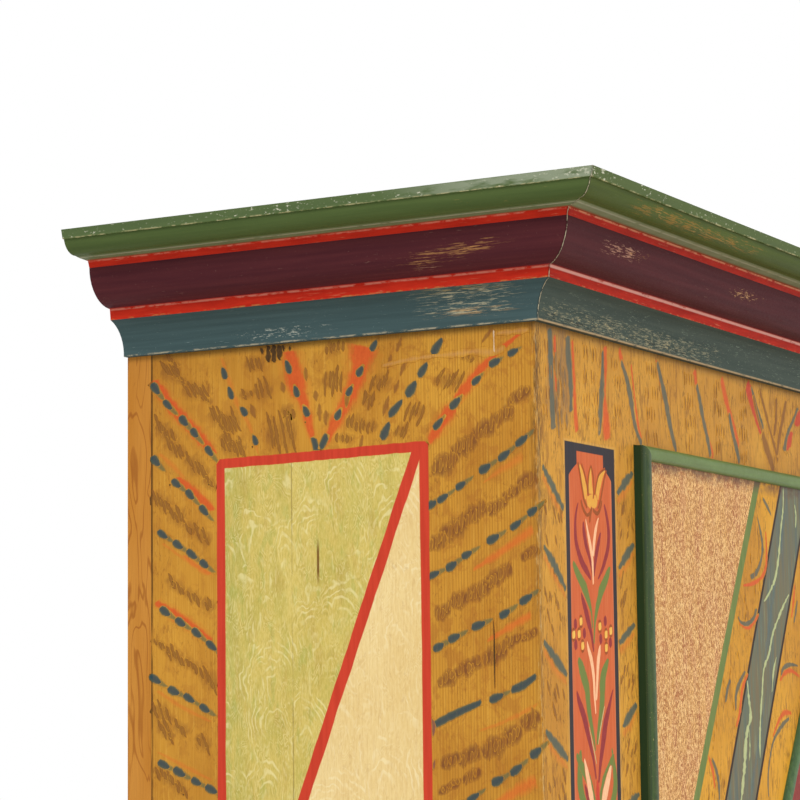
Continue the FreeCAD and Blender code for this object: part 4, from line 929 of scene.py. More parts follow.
def brushed(ground, name):
    """The material of one paint on one ground: two shades, thin spots and a soft ragged rim."""
    if (ground, name) in MIXED:
        return MIXED[ground, name]
    main, deep, full, edge, soft, ragged, *heart = PAINTS[name]
    p = Paint(name + "_on_" + ground.__name__)
    rim = p.tree.nodes.new("ShaderNodeAttribute")
    rim.attribute_name = "rim"
    blot = p.noise((3.2, 3.2, 7), 4, 3, 0.7)
    hairs = p.noise((1.5, 1.5, 8), 3, 7, 0.65)
    inward = Term(p, rim.outputs["Fac"])
    paint = p.mix(p.step(blot, 0.5, 0.16), main, deep)
    if heart:
        paint = p.mix(p.below(inward + (blot - 0.5) * 0.3, 0.55, 0.3), paint, heart[0])
    cover = p.below(inward + (hairs * 0.6 + blot * 0.6 - 0.6) * ragged, edge, soft)
    cover = cover * (1 - p.step(hairs, 0.66, 0.07) * (1 - full)) * full
    colour = p.mix(cover, ground(p), paint)
    MIXED[ground, name] = p.finish(colour, p.step(blot, 0.5, 0.4) * 0.2 + 0.42, hairs, 0.15, 0.1)
    return MIXED[ground, name]


MIXED = {}
# two shades, how full it covers, the place, softness and raggedness of its rim, and its heart
PAINTS = {
    "dab": ("8a5728", "80502a", 0.5, 0.62, 0.4, 1.5),
    "blot": ("7a482a", "6c4028", 0.8, 0.7, 0.36, 1.3),
    "finger": ("4e2c15", "5e3619", 0.76, 0.8, 0.2, 0.9, "87572a"),
    "streak": ("653920", "704325", 0.68, 0.7, 0.3, 0.9, "7f4e2b"),
    "teal": ("4e5d47", "43554a", 0.92, 0.84, 0.18, 0.45, "29464e"),
    "moss": ("566148", "63693f", 0.74, 0.7, 0.3, 0.7),
    "orange": ("da582a", "cb4b26", 0.84, 0.72, 0.28, 0.7),
    "glow": ("dc6b2e", "d46029", 0.62, 0.62, 0.38, 0.9),
    "faint": ("d9762f", "cf6b2b", 0.5, 0.55, 0.45, 0.7),
    "slate": ("566056", "4a564e", 0.86, 0.78, 0.2, 0.5),
    "brown": ("7b4a22", "84542a", 0.8, 0.74, 0.24, 0.7),
    "umber": ("46291a", "5a371c", 0.8, 0.74, 0.24, 0.7),
    "purple": ("6d4a52", "7d4b40", 0.8, 0.8, 0.2, 0.5),
    "smoke": ("6b5c48", "5a4d3e", 0.6, 0.7, 0.3, 0.7),
    "crimson": ("933236", "842c32", 0.94, 0.9, 0.1, 0.2),
    "leaf": ("61803f", "6a7b38", 0.94, 0.9, 0.1, 0.2),
    "peach": ("f8c79c", "f2b484", 0.95, 0.92, 0.08, 0.16),
    "yellow": ("e6ac48", "dc9c3c", 0.95, 0.9, 0.1, 0.2),
    "gold": ("efc25c", "e8b04e", 0.95, 0.92, 0.08, 0.16),
    "russet": ("94501f", "86441f", 0.9, 0.9, 0.1, 0.2),
    "scarlet": ("cc3f30", "b8342a", 0.86, 0.84, 0.16, 0.4),
    "vein": ("c4c88e", "b3bb86", 0.9, 0.74, 0.24, 0.9),
    "thin": ("c0802f", "b4702a", 0.45, 0.6, 0.4, 0.6),
    "dash": ("5b6450", "4a594c", 0.88, 0.8, 0.22, 0.5, "3f5650"),
    "soot": ("2e2218", "4a3521", 0.92, 0.84, 0.16, 0.6),
    "blue": ("5b6f72", "526668", 0.5, 0.55, 0.45, 0.6),
    # pale pinkish strokes that stand for light reflected off the top of a side: a painted sheen
    "scuff": ("d8b096", "cfa288", 0.2, 0.3, 0.6, 1.2),
    "white": ("e4d4bf", "d5bf9f", 0.7, 0.6, 0.35, 1.4),
}


# ------------------------------------------------------------------ strokes on the sides
def mirrored(points):
    """The same points below the middle of the doors, upside down."""
    return [(point[0], 2 * MIDDLE_Z - point[1], *point[2:]) for point in points]


FRONT_STRINGS = [
    [(122, 1627), (108, 1633), (87, 1645), (59, 1661), (37, 1673), (17, 1687)],
    [(120, 1555), (99, 1563), (81, 1574), (51, 1589), (25, 1602), (6, 1615)],
    [(115, 1481), (97, 1490), (69, 1502), (39, 1513), (15, 1527)],
    [(117, 1312), (98, 1320), (78, 1329), (50, 1346), (29, 1357), (7, 1374)],
]
BACK_STRINGS = [
    [(463, 1771), (447, 1752), (426, 1733), (412, 1719), (393, 1698)],
    [(463, 1691), (436, 1665), (418, 1652), (400, 1634)],
    [(454, 1610), (434, 1598), (416, 1587), (400, 1576)],
    [(451, 1526), (431, 1514), (410, 1502), (391, 1488)],
    [(464, 1453), (440, 1440), (420, 1432), (400, 1421)],
    [(453, 1361), (433, 1353), (411, 1343), (392, 1335)],
]
FAN_STRINGS = [
    [(334, 1706), (348, 1738), (365, 1759), (373, 1781)],
    [(270, 1733), (282, 1755), (292, 1782)],
    [(231, 1727), (217, 1751), (204, 1771), (187, 1797)],
    [(112, 1710), (92, 1730), (67, 1752), (46, 1769), (25, 1778)],
]
LEAF_STRING = [(174, 1706), (162, 1729), (143, 1748), (129, 1767), (112, 1790)]
LONG_TEAL = [(111, 1409), (97, 1416), (69, 1422), (50, 1429), (27, 1438), (6, 1448)]
ROWS_BELOW = 4          # rows from the last one that is listed down to the middle


def rows_below(depths, start, slope):
    """Rows of dots that flatten out down to the middle of the doors."""
    for row in range(1, ROWS_BELOW + 1):
        share = 1 - row / ROWS_BELOW
        level = MIDDLE_Z + (start - MIDDLE_Z) * share
        yield [(depth, level + slope * share * (depth - depths[-1])) for depth in depths]


FRONT_STRINGS.extend(rows_below((118, 96, 72, 50, 27, 6), 1374, -0.45))
BACK_STRINGS.extend(rows_below((458, 436, 414, 392), 1335, 0.42))

THICK_ORANGE = [
    [(124, 1690, 5), (112, 1706, 14), (98, 1723, 13), (92, 1731, 6)],
    [(94, 1730, 6), (80, 1745, 12), (62, 1763, 9), (40, 1781, 5), (13, 1799, 2)],
    [(466, 1781, 8), (452, 1763, 12), (440, 1748, 13), (418, 1727, 13), (398, 1707, 12), (384, 1693, 4)],
    [(436, 1672, 5), (415, 1655, 11), (397, 1641, 10), (386, 1632, 4)],
    [(250, 1693, 4), (238, 1713, 12), (222, 1738, 15), (207, 1766, 22), (199, 1799, 30)],
    [(258, 1691, 3), (266, 1716, 9), (272, 1741, 13), (283, 1768, 22), (291, 1801, 15)],
    [(464, 1537, 6), (440, 1523, 10), (415, 1508, 10), (390, 1492, 7)],
]
GLOWS = [
    [(75, 1558, 4), (50, 1571, 10), (24, 1586, 13), (4, 1598, 10)],
    [(62, 1318, 4), (36, 1332, 14), (6, 1348, 17)],
    [(428, 1587, 4), (410, 1574, 9), (390, 1564, 8)],
    [(60, 1486, 4), (34, 1499, 10), (8, 1512, 9)],
]
FAINT_ORANGE = [
    [(62, 1646, 3), (38, 1660, 10), (14, 1672, 12)],
    [(330, 1690, 3), (341, 1722, 7), (358, 1750, 9), (377, 1800, 7)],
    [(70, 1396, 3), (44, 1404, 6), (18, 1415, 6), (3, 1423, 4)],
    [(460, 1700, 6), (440, 1684, 11), (424, 1668, 8)],
    [(455, 1601, 4), (422, 1580, 6), (388, 1562, 3)],
    [(462, 1441, 5), (430, 1423, 8), (390, 1406, 3)],
    [(462, 1375, 3), (428, 1360, 7), (390, 1344, 4)],
    [(128, 1687, 2), (104, 1712, 2.4), (76, 1738, 2), (58, 1754, 1.4)],
]
THICK_BELOW, FAINT_BELOW = (6, 3), (2, 4, 5, 6)     # those that come again below the middle
SCAR = [(324, 1806, 1798, 8), (316, 1808, 1789, 9), (309, 1808, 1788, 10), (302, 1807, 1790, 9),
        (297, 1807, 1799, 6), (289, 1805, 1799, 4)]
RED_LINE_DABS = [[(124, 1410, 3), (121, 1400, 5), (123, 1390, 2)], [(120, 1368, 2), (123, 1357, 4)]]


# dabs of glaze: depth, level, width and height
FRONT_DABS = [
    (19, 1733, 23, 10), (37, 1714, 21, 15), (59, 1701, 21, 15), (82, 1685, 24, 16), (105, 1668, 26, 18),
    (12, 1646, 17, 13), (30, 1634, 15, 10), (46, 1622, 19, 11), (71, 1616, 23, 17), (96, 1600, 25, 17),
    (115, 1588, 18, 14), (10, 1573, 15, 9), (44, 1552, 24, 15), (65, 1538, 25, 14), (91, 1528, 25, 14),
    (109, 1517, 14, 12), (12, 1491, 15, 7), (32, 1485, 20, 9), (51, 1472, 24, 15), (79, 1461, 22, 13),
    (102, 1450, 24, 12), (12, 1406, 17, 16), (34, 1391, 21, 15), (52, 1380, 25, 18), (82, 1371, 21, 15),
    (103, 1366, 17, 10), (79, 1351, 17, 10), (104, 1340, 23, 7)]
BACK_DABS = [
    (441, 1799, 17, 10), (428, 1778, 18, 8), (403, 1759, 25, 9), (379, 1731, 25, 17), (362, 1705, 28, 18),
    (449, 1721, 23, 18), (436, 1703, 21, 18), (409, 1682, 26, 20), (392, 1663, 13, 13),
    (455, 1646, 21, 18), (434, 1629, 21, 18), (417, 1615, 16, 14), (401, 1604, 15, 17),
    (436, 1554, 22, 13), (414, 1541, 17, 14), (395, 1532, 12, 14), (455, 1489, 21, 9),
    (436, 1477, 22, 15), (417, 1468, 15, 12), (395, 1452, 19, 16), (454, 1415, 22, 22),
    (449, 1397, 18, 16), (430, 1399, 13, 16), (402, 1385, 15, 14), (444, 1344, 40, 14)]
# clusters of fingers over the panel: depth, level, width and height
TOP_CLUSTERS = [
    (367, 1727, 25, 24), (361, 1700, 28, 19), (301, 1711, 35, 39), (410, 1765, 33, 18),
    (324, 1759, 22, 24), (334, 1789, 21, 15), (210, 1717, 21, 17), (223, 1702, 20, 9),
    (194, 1740, 13, 15), (193, 1713, 17, 11), (139, 1725, 20, 18), (180, 1758, 23, 17),
    (99, 1754, 32, 17), (236, 1764, 27, 24), (76, 1776, 13, 6), (234, 1798, 24, 12),
    (156, 1705, 13, 17), (345, 1756, 14, 9), (292, 1735, 17, 12), (443, 1788, 22, 19)]
# small leaf shaped dabs over the panel: depth and level, slanting with the fan
TOP_DABS = [(158, 1796), (170, 1779), (151, 1771), (160, 1752), (175, 1733), (203, 1697),
            (54, 1797), (269, 1773), (258, 1749), (255, 1731), (246, 1725), (220, 1744),
            (336, 1738), (300, 1761)]
# faint pinkish streaks near the top of each side: painted sheen, light reflected off the paint
SHEEN_STREAKS = [[(178, 1775, 4), (148, 1779, 6), (117, 1781, 5), (94, 1781, 7), (71, 1782, 8), (47, 1780, 9),
           (33, 1784, 6)], [(44, 1799, 4), (25, 1799, 7), (5, 1800, 6)]]
WHITE_LINE = [(46, 1803, 2), (46, 1791, 2.6), (46, 1779, 1.6)]
CRACK = [(52, 1509, 0.8), (51, 1494, 1.4), (51, 1471, 2.4), (51, 1455, 1.6), (51, 1438, 0.8)]


TO_WAIST = 640                  # from the middle of the doors down to the waist moulding
LOW_DABS, LOW_STRINGS = (352, 290, 226), (330, 262)     # rows between the waist and the base
SPECKS = 14                     # small dark spots on a side


def side_margin(p):
    return side_ground(p, p.y - FRONT_Y)[0]


def paint_side_dabs(canvas):
    """Dabs in rows between the strings, the same below the middle of the doors as above it."""
    for flip in (False, True):
        for rows, slope, finger, lean, glaze in ((FRONT_DABS, -0.5, "streak", 0.1, "blot"),
                                                 (BACK_DABS, 0.6, "finger", -0.4, "dab")):
            for depth, level, wide, tall in (mirrored_dabs(rows) if flip else rows):
                canvas.dab(depth, level, wide, tall, -slope if flip else slope, finger,
                           -lean if flip else lean, glaze)
    for depth, level, wide, tall in TOP_CLUSTERS:
        canvas.dab(depth, level, wide, tall, 0.1, "finger", (250 - depth) / 260)
    for depth, level in TOP_DABS:
        lean = (250 - depth) / 110
        reach, here = canvas.chance.uniform(6, 11), depth + canvas.chance.uniform(-2, 2)
        width = canvas.chance.uniform(6, 9)
        canvas.ribbon("streak", [(here - reach * lean * 0.5, level + reach, 2), (here, level, width),
                                 (here + reach * lean * 0.5, level - reach, 1.5)], 0.3, 3)
    for level in LOW_DABS:
        for depth in range(20, 460, 31):
            canvas.dab(depth, level + canvas.chance.uniform(-6, 6), 18, 13, 0, "streak")


def mirrored_dabs(rows):
    """The dabs again below the middle, as far down as the waist moulding allows."""
    return mirrored([row for row in rows if row[1] - MIDDLE_Z < TO_WAIST])


def clear_of_panel(depth, up):
    """A point of a stroke, moved out of the panel to the panel's nearest edge."""
    top = SIDE_HALF + (SIDE_EDGE[1] - depth) * TOP_SLANT
    gaps = (depth - SIDE_EDGE[0], SIDE_EDGE[1] - depth, top - abs(up - MIDDLE_Z))
    if min(gaps) <= 0:
        return depth, up
    if gaps[2] == min(gaps):
        return depth, MIDDLE_Z + math.copysign(top, up - MIDDLE_Z)
    return SIDE_EDGE[gaps.index(min(gaps))], up


def paint_side(side, sign):
    def place(depth, up, lift):
        depth, up = clear_of_panel(depth, up)
        return (sign * (HALF + lift), FRONT_Y + depth, up)

    canvas = Canvas(side + "_side_strokes", "case", side + "_side_boards", place, side_margin, 11)
    paint_side_dabs(canvas)
    # painted sheen across the top of the side
    for route in SHEEN_STREAKS:
        canvas.ribbon("scuff", route, 0.4)
    canvas.ribbon("white", WHITE_LINE, 0.5, 3)
    canvas.ribbon("soot", CRACK)
    for route in THICK_ORANGE:
        canvas.glaze("orange", "faint", route)
    for route in FAINT_ORANGE:
        canvas.ribbon("faint", route, 0.25, 6)
    for route in GLOWS:
        canvas.ribbon("glow", route, 0.25, 6)
        canvas.ribbon("glow", mirrored(route), 0.25, 6)
    for index in THICK_BELOW:
        canvas.glaze("orange", "faint", mirrored(THICK_ORANGE[index]))
    for index in FAINT_BELOW:
        canvas.ribbon("faint", mirrored(FAINT_ORANGE[index]), 0.25, 6)
    for rows in (FRONT_STRINGS, BACK_STRINGS):
        for row in rows:
            canvas.string(row)
            if row[0][1] > MIDDLE_Z + 1:
                canvas.string(mirrored(row))
    for row in FAN_STRINGS[:3]:
        canvas.string(row, 14, 10.5, 9)
    canvas.string(FAN_STRINGS[3], 14, 10.5, 13)
    canvas.string(LEAF_STRING, 21, 12, 11)
    canvas.string(mirrored(LONG_TEAL))
    canvas.dot(LONG_TEAL[3], LONG_TEAL[4])
    for row in ([(123, 1401), (97, 1413), (66, 1425)], [(34, 1436), (20, 1441), (4, 1451)],
                [(262, 1706), (259, 1697), (257, 1689)], [(244, 1708), (249, 1699), (253, 1691)]):
        canvas.ribbon("teal", stroke(row, 10, 0.8, 0.7))
    for route in RED_LINE_DABS:
        canvas.ribbon("purple", route)
    for depth, top, bottom, width in SCAR:
        canvas.ribbon("soot", stroke([(depth, top), (depth + 1, bottom)], width, 0.9, 0.5), 0.35, 3)
    for index in range(SPECKS):
        depth, level = canvas.chance.uniform(8, 455), canvas.chance.uniform(450, 1790)
        canvas.ribbon("soot", stroke([(depth, level + 1.4), (depth, level - 1.4)], 2.4))
    for level in LOW_STRINGS:
        canvas.string([(depth, level + 0.2 * abs(depth - 253)) for depth in range(452, 20, -34)])
        canvas.ribbon("faint", [(depth, level - 14 + 0.2 * abs(depth - 253), 7)
                                for depth in (440, 330, 250, 160, 40)], 0.3, 8)
    canvas.build()


# ------------------------------------------------------------------ strokes on the front
LEFT_DASHES = [[(11, 1662), (34, 1643), (60, 1620)], [(11, 1581), (36, 1562), (62, 1538)],
               [(7, 1485), (34, 1468), (61, 1451)], [(8, 1396), (34, 1381), (60, 1366)],
               [(8, 1308), (34, 1297), (60, 1287)], [(8, 1222), (34, 1215), (60, 1209)],
               [(8, 1138), (34, 1135), (60, 1133)]]
RIGHT_DASHES = [[(192, 1645), (212, 1658), (235, 1671)], [(192, 1565), (212, 1580), (234, 1594)],
                [(190, 1486), (210, 1497), (232, 1508)], [(194, 1398), (212, 1410), (232, 1423)],
                [(192, 1311), (212, 1319), (234, 1328)], [(192, 1227), (212, 1232), (234, 1237)],
                [(192, 1143), (212, 1145), (234, 1147)]]
FRIEZE_ORANGE = [
    [(88, 1800, 4), (90, 1770, 6), (92, 1730, 7), (95, 1702, 8)],
    [(46, 1800, 4), (46, 1770, 5), (48, 1740, 3)],
    [(170, 1803, 8), (168, 1778, 10), (164, 1752, 11), (168, 1722, 16), (170, 1700, 17)],
    [(205, 1804, 8), (214, 1787, 7), (226, 1775, 4)],
    [(236, 1790, 3), (243, 1757, 3), (252, 1723, 5), (262, 1706, 4)],
    [(303, 1802, 4), (315, 1776, 4), (330, 1744, 4), (346, 1712, 5)],
    [(412, 1803, 10), (417, 1785, 8), (432, 1758, 4), (448, 1728, 7), (462, 1704, 7)],
    [(492, 1802, 11), (503, 1780, 12), (516, 1760, 9), (530, 1744, 8), (541, 1722, 6)],
]
FRIEZE_RED = [
    [(571, 1803, 15), (587, 1783, 15), (603, 1762, 12), (622, 1741, 9)],
    [(757, 1790, 7), (742, 1776, 13), (727, 1766, 6)], [(718, 1758, 5), (706, 1744, 12), (696, 1732, 5)],
]
FRIEZE_SLATE = [
    [(34, 1806, 9), (35, 1780, 11), (36, 1745, 10), (39, 1700, 10)],
    [(77, 1803, 9), (78, 1780, 11), (82, 1755, 9), (82, 1722, 7)],
    [(163, 1797, 3), (161, 1768, 8), (157, 1745, 11), (153, 1722, 8), (150, 1703, 6)],
    [(209, 1790, 6), (221, 1776, 8), (231, 1757, 9), (238, 1735, 9), (246, 1718, 6), (261, 1703, 7)],
    [(306, 1800, 6), (316, 1782, 8), (329, 1756, 10), (338, 1733, 9), (349, 1712, 7), (356, 1701, 6)],
    [(417, 1786, 7), (425, 1770, 8), (434, 1748, 8), (446, 1725, 8), (454, 1705, 7)],
    [(513, 1762, 5), (520, 1744, 7), (533, 1722, 8), (543, 1704, 6)],
    [(585, 1800, 4), (602, 1776, 5), (622, 1752, 6)],
    [(740, 1790, 5), (722, 1772, 5), (700, 1752, 6), (688, 1730, 9)],
]
FRIEZE_BROWN = [
    [(616, 1748, 12), (628, 1732, 16), (642, 1716, 15), (651, 1702, 9)],
    [(612, 1798, 5), (628, 1775, 6), (643, 1752, 5), (656, 1734, 6), (667, 1716, 5)],
    [(667, 1796, 4), (664, 1770, 7), (655, 1745, 6)],
    [(700, 1795, 6), (686, 1770, 7), (672, 1745, 7), (662, 1722, 6)],
    [(590, 1790, 5), (604, 1765, 6), (618, 1748, 4)],
]
SMUDGE = [(47, 1768), (58, 1764), (68, 1758), (52, 1744), (64, 1738), (47, 1724), (58, 1716),
          (70, 1712), (62, 1752), (50, 1708)]
DASH_COLUMNS = (22, 118, 138, 190, 276, 294, 380, 396, 470, 482, 550, 560)
DASH_ROWS = (1788, 1764, 1739, 1716)

TULIP = {
    "yellow": [
        [(100, 1670, 3), (103, 1664, 9), (107, 1657, 11), (110, 1650, 12), (113, 1644, 12),
         (116, 1635, 12)],
        [(128, 1669, 1), (127, 1663, 5), (126, 1656, 9), (126, 1649, 12), (127, 1638, 16)],
        [(163, 1668, 2), (154, 1662, 10), (149, 1656, 13), (145, 1650, 14), (142, 1643, 14),
         (140, 1635, 14)],
        [(129, 1641, 30), (129, 1634, 36), (129, 1628, 28), (129, 1624, 10)],
    ],
    "russet": [
        [(96, 1672, 2), (100, 1662, 2.4), (103, 1652, 2.4), (106, 1643, 2.4), (109, 1634, 2.6),
         (117, 1626, 2.6)],
        [(105, 1671, 1.6), (112, 1661, 2), (117, 1650, 2), (119, 1640, 2)],
        [(128, 1671, 1.6), (122, 1661, 2), (120, 1650, 2), (120, 1638, 1.8)],
        [(128, 1671, 1.6), (133, 1660, 2), (134, 1648, 2), (132, 1636, 1.6)],
        [(163, 1670, 1.8), (148, 1663, 2), (141, 1653, 2), (136, 1640, 2)],
        [(166, 1668, 1.8), (160, 1658, 2.4), (155, 1647, 2.4), (150, 1636, 2.4), (143, 1626, 2.6)],
        [(102, 1633, 2), (106, 1625, 3), (116, 1618, 3), (126, 1622, 3)],
        [(153, 1636, 2), (149, 1627, 3), (141, 1621, 3.4), (130, 1625, 3)],
        [(128, 1627, 3), (124, 1619, 3), (122, 1610, 2)],
    ],
}
PETALS = {
    "crimson": [
        [(95, 1630, 2), (89, 1617, 5), (87, 1605, 6), (88, 1590, 8), (94, 1578, 9), (103, 1567, 10),
         (114, 1559, 9), (123, 1551, 3)],
        [(159, 1632, 3), (164, 1622, 6), (168, 1610, 7), (169, 1598, 8), (166, 1585, 8), (160, 1575, 8),
         (152, 1564, 6), (140, 1552, 2)],
        [(107, 1611, 3), (108, 1600, 8), (113, 1586, 8), (119, 1576, 6), (125, 1564, 5), (127, 1552, 2)],
        [(149, 1602, 3), (143, 1590, 7), (137, 1578, 8), (133, 1566, 6), (130, 1554, 3)],
    ],
    "peach": [
        [(112, 1614, 1.4), (116, 1603, 4), (120, 1593, 6), (124, 1582, 6.5), (127, 1570, 5),
         (128, 1546, 3)],
        [(144, 1617, 1.6), (138, 1607, 5), (134, 1597, 6.5), (131, 1587, 6), (129, 1575, 4)],
    ],
}
LEAVES = {
    "leaf": [
        [(80, 1568, 4), (85, 1562, 8), (92, 1555, 10), (99, 1549, 11), (105, 1544, 12), (109, 1539, 11),
         (114, 1532, 9), (119, 1524, 6), (123, 1515, 3), (124, 1500, 2.4)],
        [(171, 1567, 3), (165, 1559, 8), (159, 1552, 10), (152, 1545, 11), (147, 1540, 11),
         (143, 1533, 9), (138, 1525, 8), (133, 1514, 6), (130, 1505, 4), (127, 1484, 2.4)],
    ],
    "crimson": [
        [(98, 1537, 2), (103, 1528, 8), (109, 1518, 10), (114, 1508, 10), (120, 1497, 7), (124, 1486, 5),
         (126, 1476, 3)],
    ],
}
BERRIES = {"yellow": [(96, 1507), (91, 1494), (99, 1482), (78, 1493), (142, 1503), (157, 1495),
                      (169, 1499), (157, 1481)],
           "crimson": [(83, 1504), (104, 1495), (83, 1483), (144, 1490), (168, 1487), (156, 1509)]}
SPRAY = {
    "peach": [
        [(110, 1487, 1.4), (113, 1479, 6), (119, 1469, 8), (123, 1457, 7), (125, 1445, 6), (126, 1430, 5),
         (128, 1412, 2)],
        [(142, 1484, 2), (139, 1475, 7), (136, 1465, 7), (134, 1453, 6), (132, 1440, 5), (130, 1426, 3)],
    ],
    "leaf": [
        [(88, 1469, 5), (94, 1462, 11), (98, 1455, 13), (103, 1447, 13), (108, 1438, 12),
         (110, 1426, 10), (113, 1412, 9), (118, 1398, 7), (123, 1385, 4), (126, 1374, 2)],
        [(162, 1470, 4), (155, 1461, 9), (149, 1453, 12), (146, 1443, 13), (145, 1429, 11),
         (142, 1415, 10), (138, 1403, 9), (134, 1392, 7), (130, 1380, 3)],
    ],
    "crimson": [
        [(83, 1436, 2), (88, 1426, 9), (95, 1416, 11), (101, 1407, 12), (106, 1396, 10),
         (111, 1386, 9), (116, 1375, 7), (121, 1364, 5), (126, 1345, 3)],
        [(172, 1438, 2), (164, 1424, 6), (157, 1412, 10), (151, 1401, 12), (147, 1389, 12),
         (142, 1375, 10), (138, 1364, 8), (135, 1353, 6), (132, 1341, 3)],
    ],
    "vein": [
        [(111, 1400, 1), (117, 1386, 2), (123, 1372, 2), (128, 1360, 1)],
        [(150, 1421, 1.4), (142, 1404, 2.2), (136, 1390, 2), (132, 1380, 1)],
    ],
}
SPRAY_LOW = {
    "leaf": [
        [(90, 1376, 3), (88, 1363, 10), (87, 1351, 11), (87, 1341, 12), (92, 1328, 12), (104, 1312, 10),
         (117, 1297, 6), (126, 1281, 2)],
        [(166, 1377, 2), (170, 1363, 6), (173, 1347, 9), (172, 1333, 10), (164, 1318, 11),
         (150, 1303, 9), (139, 1290, 6), (130, 1276, 3)],
    ],
    "peach": [
        [(98, 1367, 2), (103, 1354, 8), (107, 1344, 10), (111, 1333, 11), (117, 1317, 9), (124, 1298, 5),
         (127, 1282, 2)],
        [(163, 1359, 3), (157, 1348, 10), (152, 1339, 12), (146, 1328, 13), (139, 1311, 9),
         (132, 1293, 4)],
    ],
    "scarlet": [[(129, 1345, 3), (129, 1332, 9), (129, 1319, 11), (128, 1304, 7), (128, 1290, 2)]],
}
BERRY = ((-0.6, 0.3), (-0.35, 0.85), (0, 1), (0.35, 0.85), (0.6, 0.3))     # length and width
SPRAY_STEP = 196.0          # the two sprays and the leaves come again at this distance
SPRAYS = 4


def lower(route, drop, share):
    return [(across, up - drop, width * share) for across, up, width in route]


def paint_pilaster(canvas):
    for group in (TULIP, PETALS):
        for paint, routes in group.items():
            for route in routes:
                share = {"yellow": 0.85, "russet": 1.35}.get(paint, 1)
                canvas.ribbon(paint, [(x, z, w * share) for x, z, w in route], 0.05, 3)
    for turn in range(SPRAYS + 1):
        drop = turn * SPRAY_STEP
        for group in (LEAVES, SPRAY, SPRAY_LOW)[:3 if turn < SPRAYS else 2]:
            for paint, routes in group.items():
                for route in routes:
                    canvas.ribbon(paint, lower(route, drop, 1.2 if paint == "leaf" else 1), 0.05, 3)
        for paint, centres in BERRIES.items():
            for across, up in centres:
                size = 12 if paint == "yellow" else 10
                ring = [(across, up - drop + size * share, size * 0.85 * width)
                        for share, width in BERRY]
                if paint == "crimson":
                    canvas.ribbon(paint, ring, 0.05, 2)
                else:
                    canvas.ribbon("russet", ring, 0.05, 2)
                    canvas.ribbon("gold", [(x, z, w * 0.78) for x, z, w in ring[1:-1]], 0.05, 2)


def front_margin(p):
    return frontage(p)[0]


def paint_front(side, sign):
    def place(across, up, lift):
        return (sign * (HALF - across), FRONT_Y - lift, up)

    canvas = Canvas(side + "_front_strokes", "case", side + "_stile", place, front_margin, 12)
    for route in LEFT_DASHES + RIGHT_DASHES:
        for points in (route, mirrored(route)):
            line = [(across, up - 9) for across, up in points]
            canvas.ribbon("faint", stroke(line, 17), 0.3)
            canvas.ribbon("dash", stroke(points, 13, 0.5, 0.5), 0.3, 4)
    for rows, lean in ((LEFT_DASHES, -0.7), (RIGHT_DASHES, 0.7)):
        for first, second in zip(rows, rows[1:]):
            for index in range(7):
                across = canvas.chance.uniform(first[0][0] + 4, first[-1][0] - 4)
                up = (first[1][1] + second[1][1]) / 2 + canvas.chance.uniform(-18, 18)
                reach = canvas.chance.uniform(5, 9)
                line = [(across + reach * lean * 0.6, up + reach), (across, up),
                        (across - reach * lean * 0.6, up - reach)]
                for points in (line, mirrored(line)):
                    canvas.ribbon("finger", stroke(points, 4.5), 0.3, 3)
    for across, up in SMUDGE:
        reach = canvas.chance.uniform(9, 17)
        canvas.ribbon("smoke", stroke([(across, up + reach), (across + 1, up - reach)], 7), 0.3)
        line = [(across - 3, up + reach * 0.7), (across - 2, up - reach * 0.5)]
        canvas.ribbon("umber", stroke(line, 3), 0.3)
    for paint, routes in (("orange", FRIEZE_ORANGE), ("scarlet", FRIEZE_RED),
                          ("slate", FRIEZE_SLATE), ("brown", FRIEZE_BROWN)):
        for route in routes:
            canvas.glaze(paint, "thin", route)
    for across in DASH_COLUMNS:
        for up in DASH_ROWS:
            count = canvas.chance.choice((2, 2, 3))
            start = across + canvas.chance.uniform(-5, 5)
            rise = up + canvas.chance.uniform(-5, 5)
            for index in range(count):
                left = start + 6.5 * index
                top = rise + canvas.chance.uniform(5, 8)
                end = rise - canvas.chance.uniform(5, 9)
                paint = "umber" if canvas.chance.random() < 0.4 else "brown"
                foot = left + canvas.chance.uniform(-1, 1)
                canvas.ribbon(paint, stroke([(left, top), (foot, end)], 2.6))
    canvas.build()
    pilaster = Canvas(side + "_pilaster", "case", side + "_stile", place, coral_ground, 14)
    paint_pilaster(pilaster)
    pilaster.build()


# ------------------------------------------------------------------ strokes on the doors
# slate strokes on the ochre of a door, and the orange ones that go with them
HOOKS = [
    [(591, 1667, 4), (605, 1658, 7), (619, 1647, 3)],
    [(573, 1643, 3), (581, 1628, 7), (587, 1610, 8), (582, 1593, 8), (566, 1577, 10), (546, 1570, 7)],
    [(563, 1535, 7), (553, 1523, 8), (533, 1516, 7), (513, 1517, 5), (504, 1524, 3)],
    [(523, 1461, 4), (503, 1446, 9), (492, 1433, 9), (491, 1415, 4)],
    [(476, 1451, 6), (466, 1438, 9), (460, 1424, 5)],
    [(416, 1362, 4), (426, 1351, 8), (434, 1335, 8), (435, 1314, 4)],
    [(697, 1549, 3), (692, 1537, 7), (683, 1520, 4)],
    [(636, 1456, 4), (643, 1465, 8), (666, 1470, 6), (693, 1469, 3)],
    [(659, 1406, 5), (634, 1397, 8), (606, 1380, 6), (592, 1358, 5), (585, 1337, 5), (585, 1314, 3)],
    [(470, 1285, 3), (452, 1268, 8), (446, 1246, 8), (450, 1226, 3)],
    [(392, 1236, 3), (374, 1218, 8), (362, 1196, 8), (360, 1176, 3)],
    [(540, 1256, 3), (520, 1240, 7), (508, 1216, 7), (504, 1192, 3)],
]
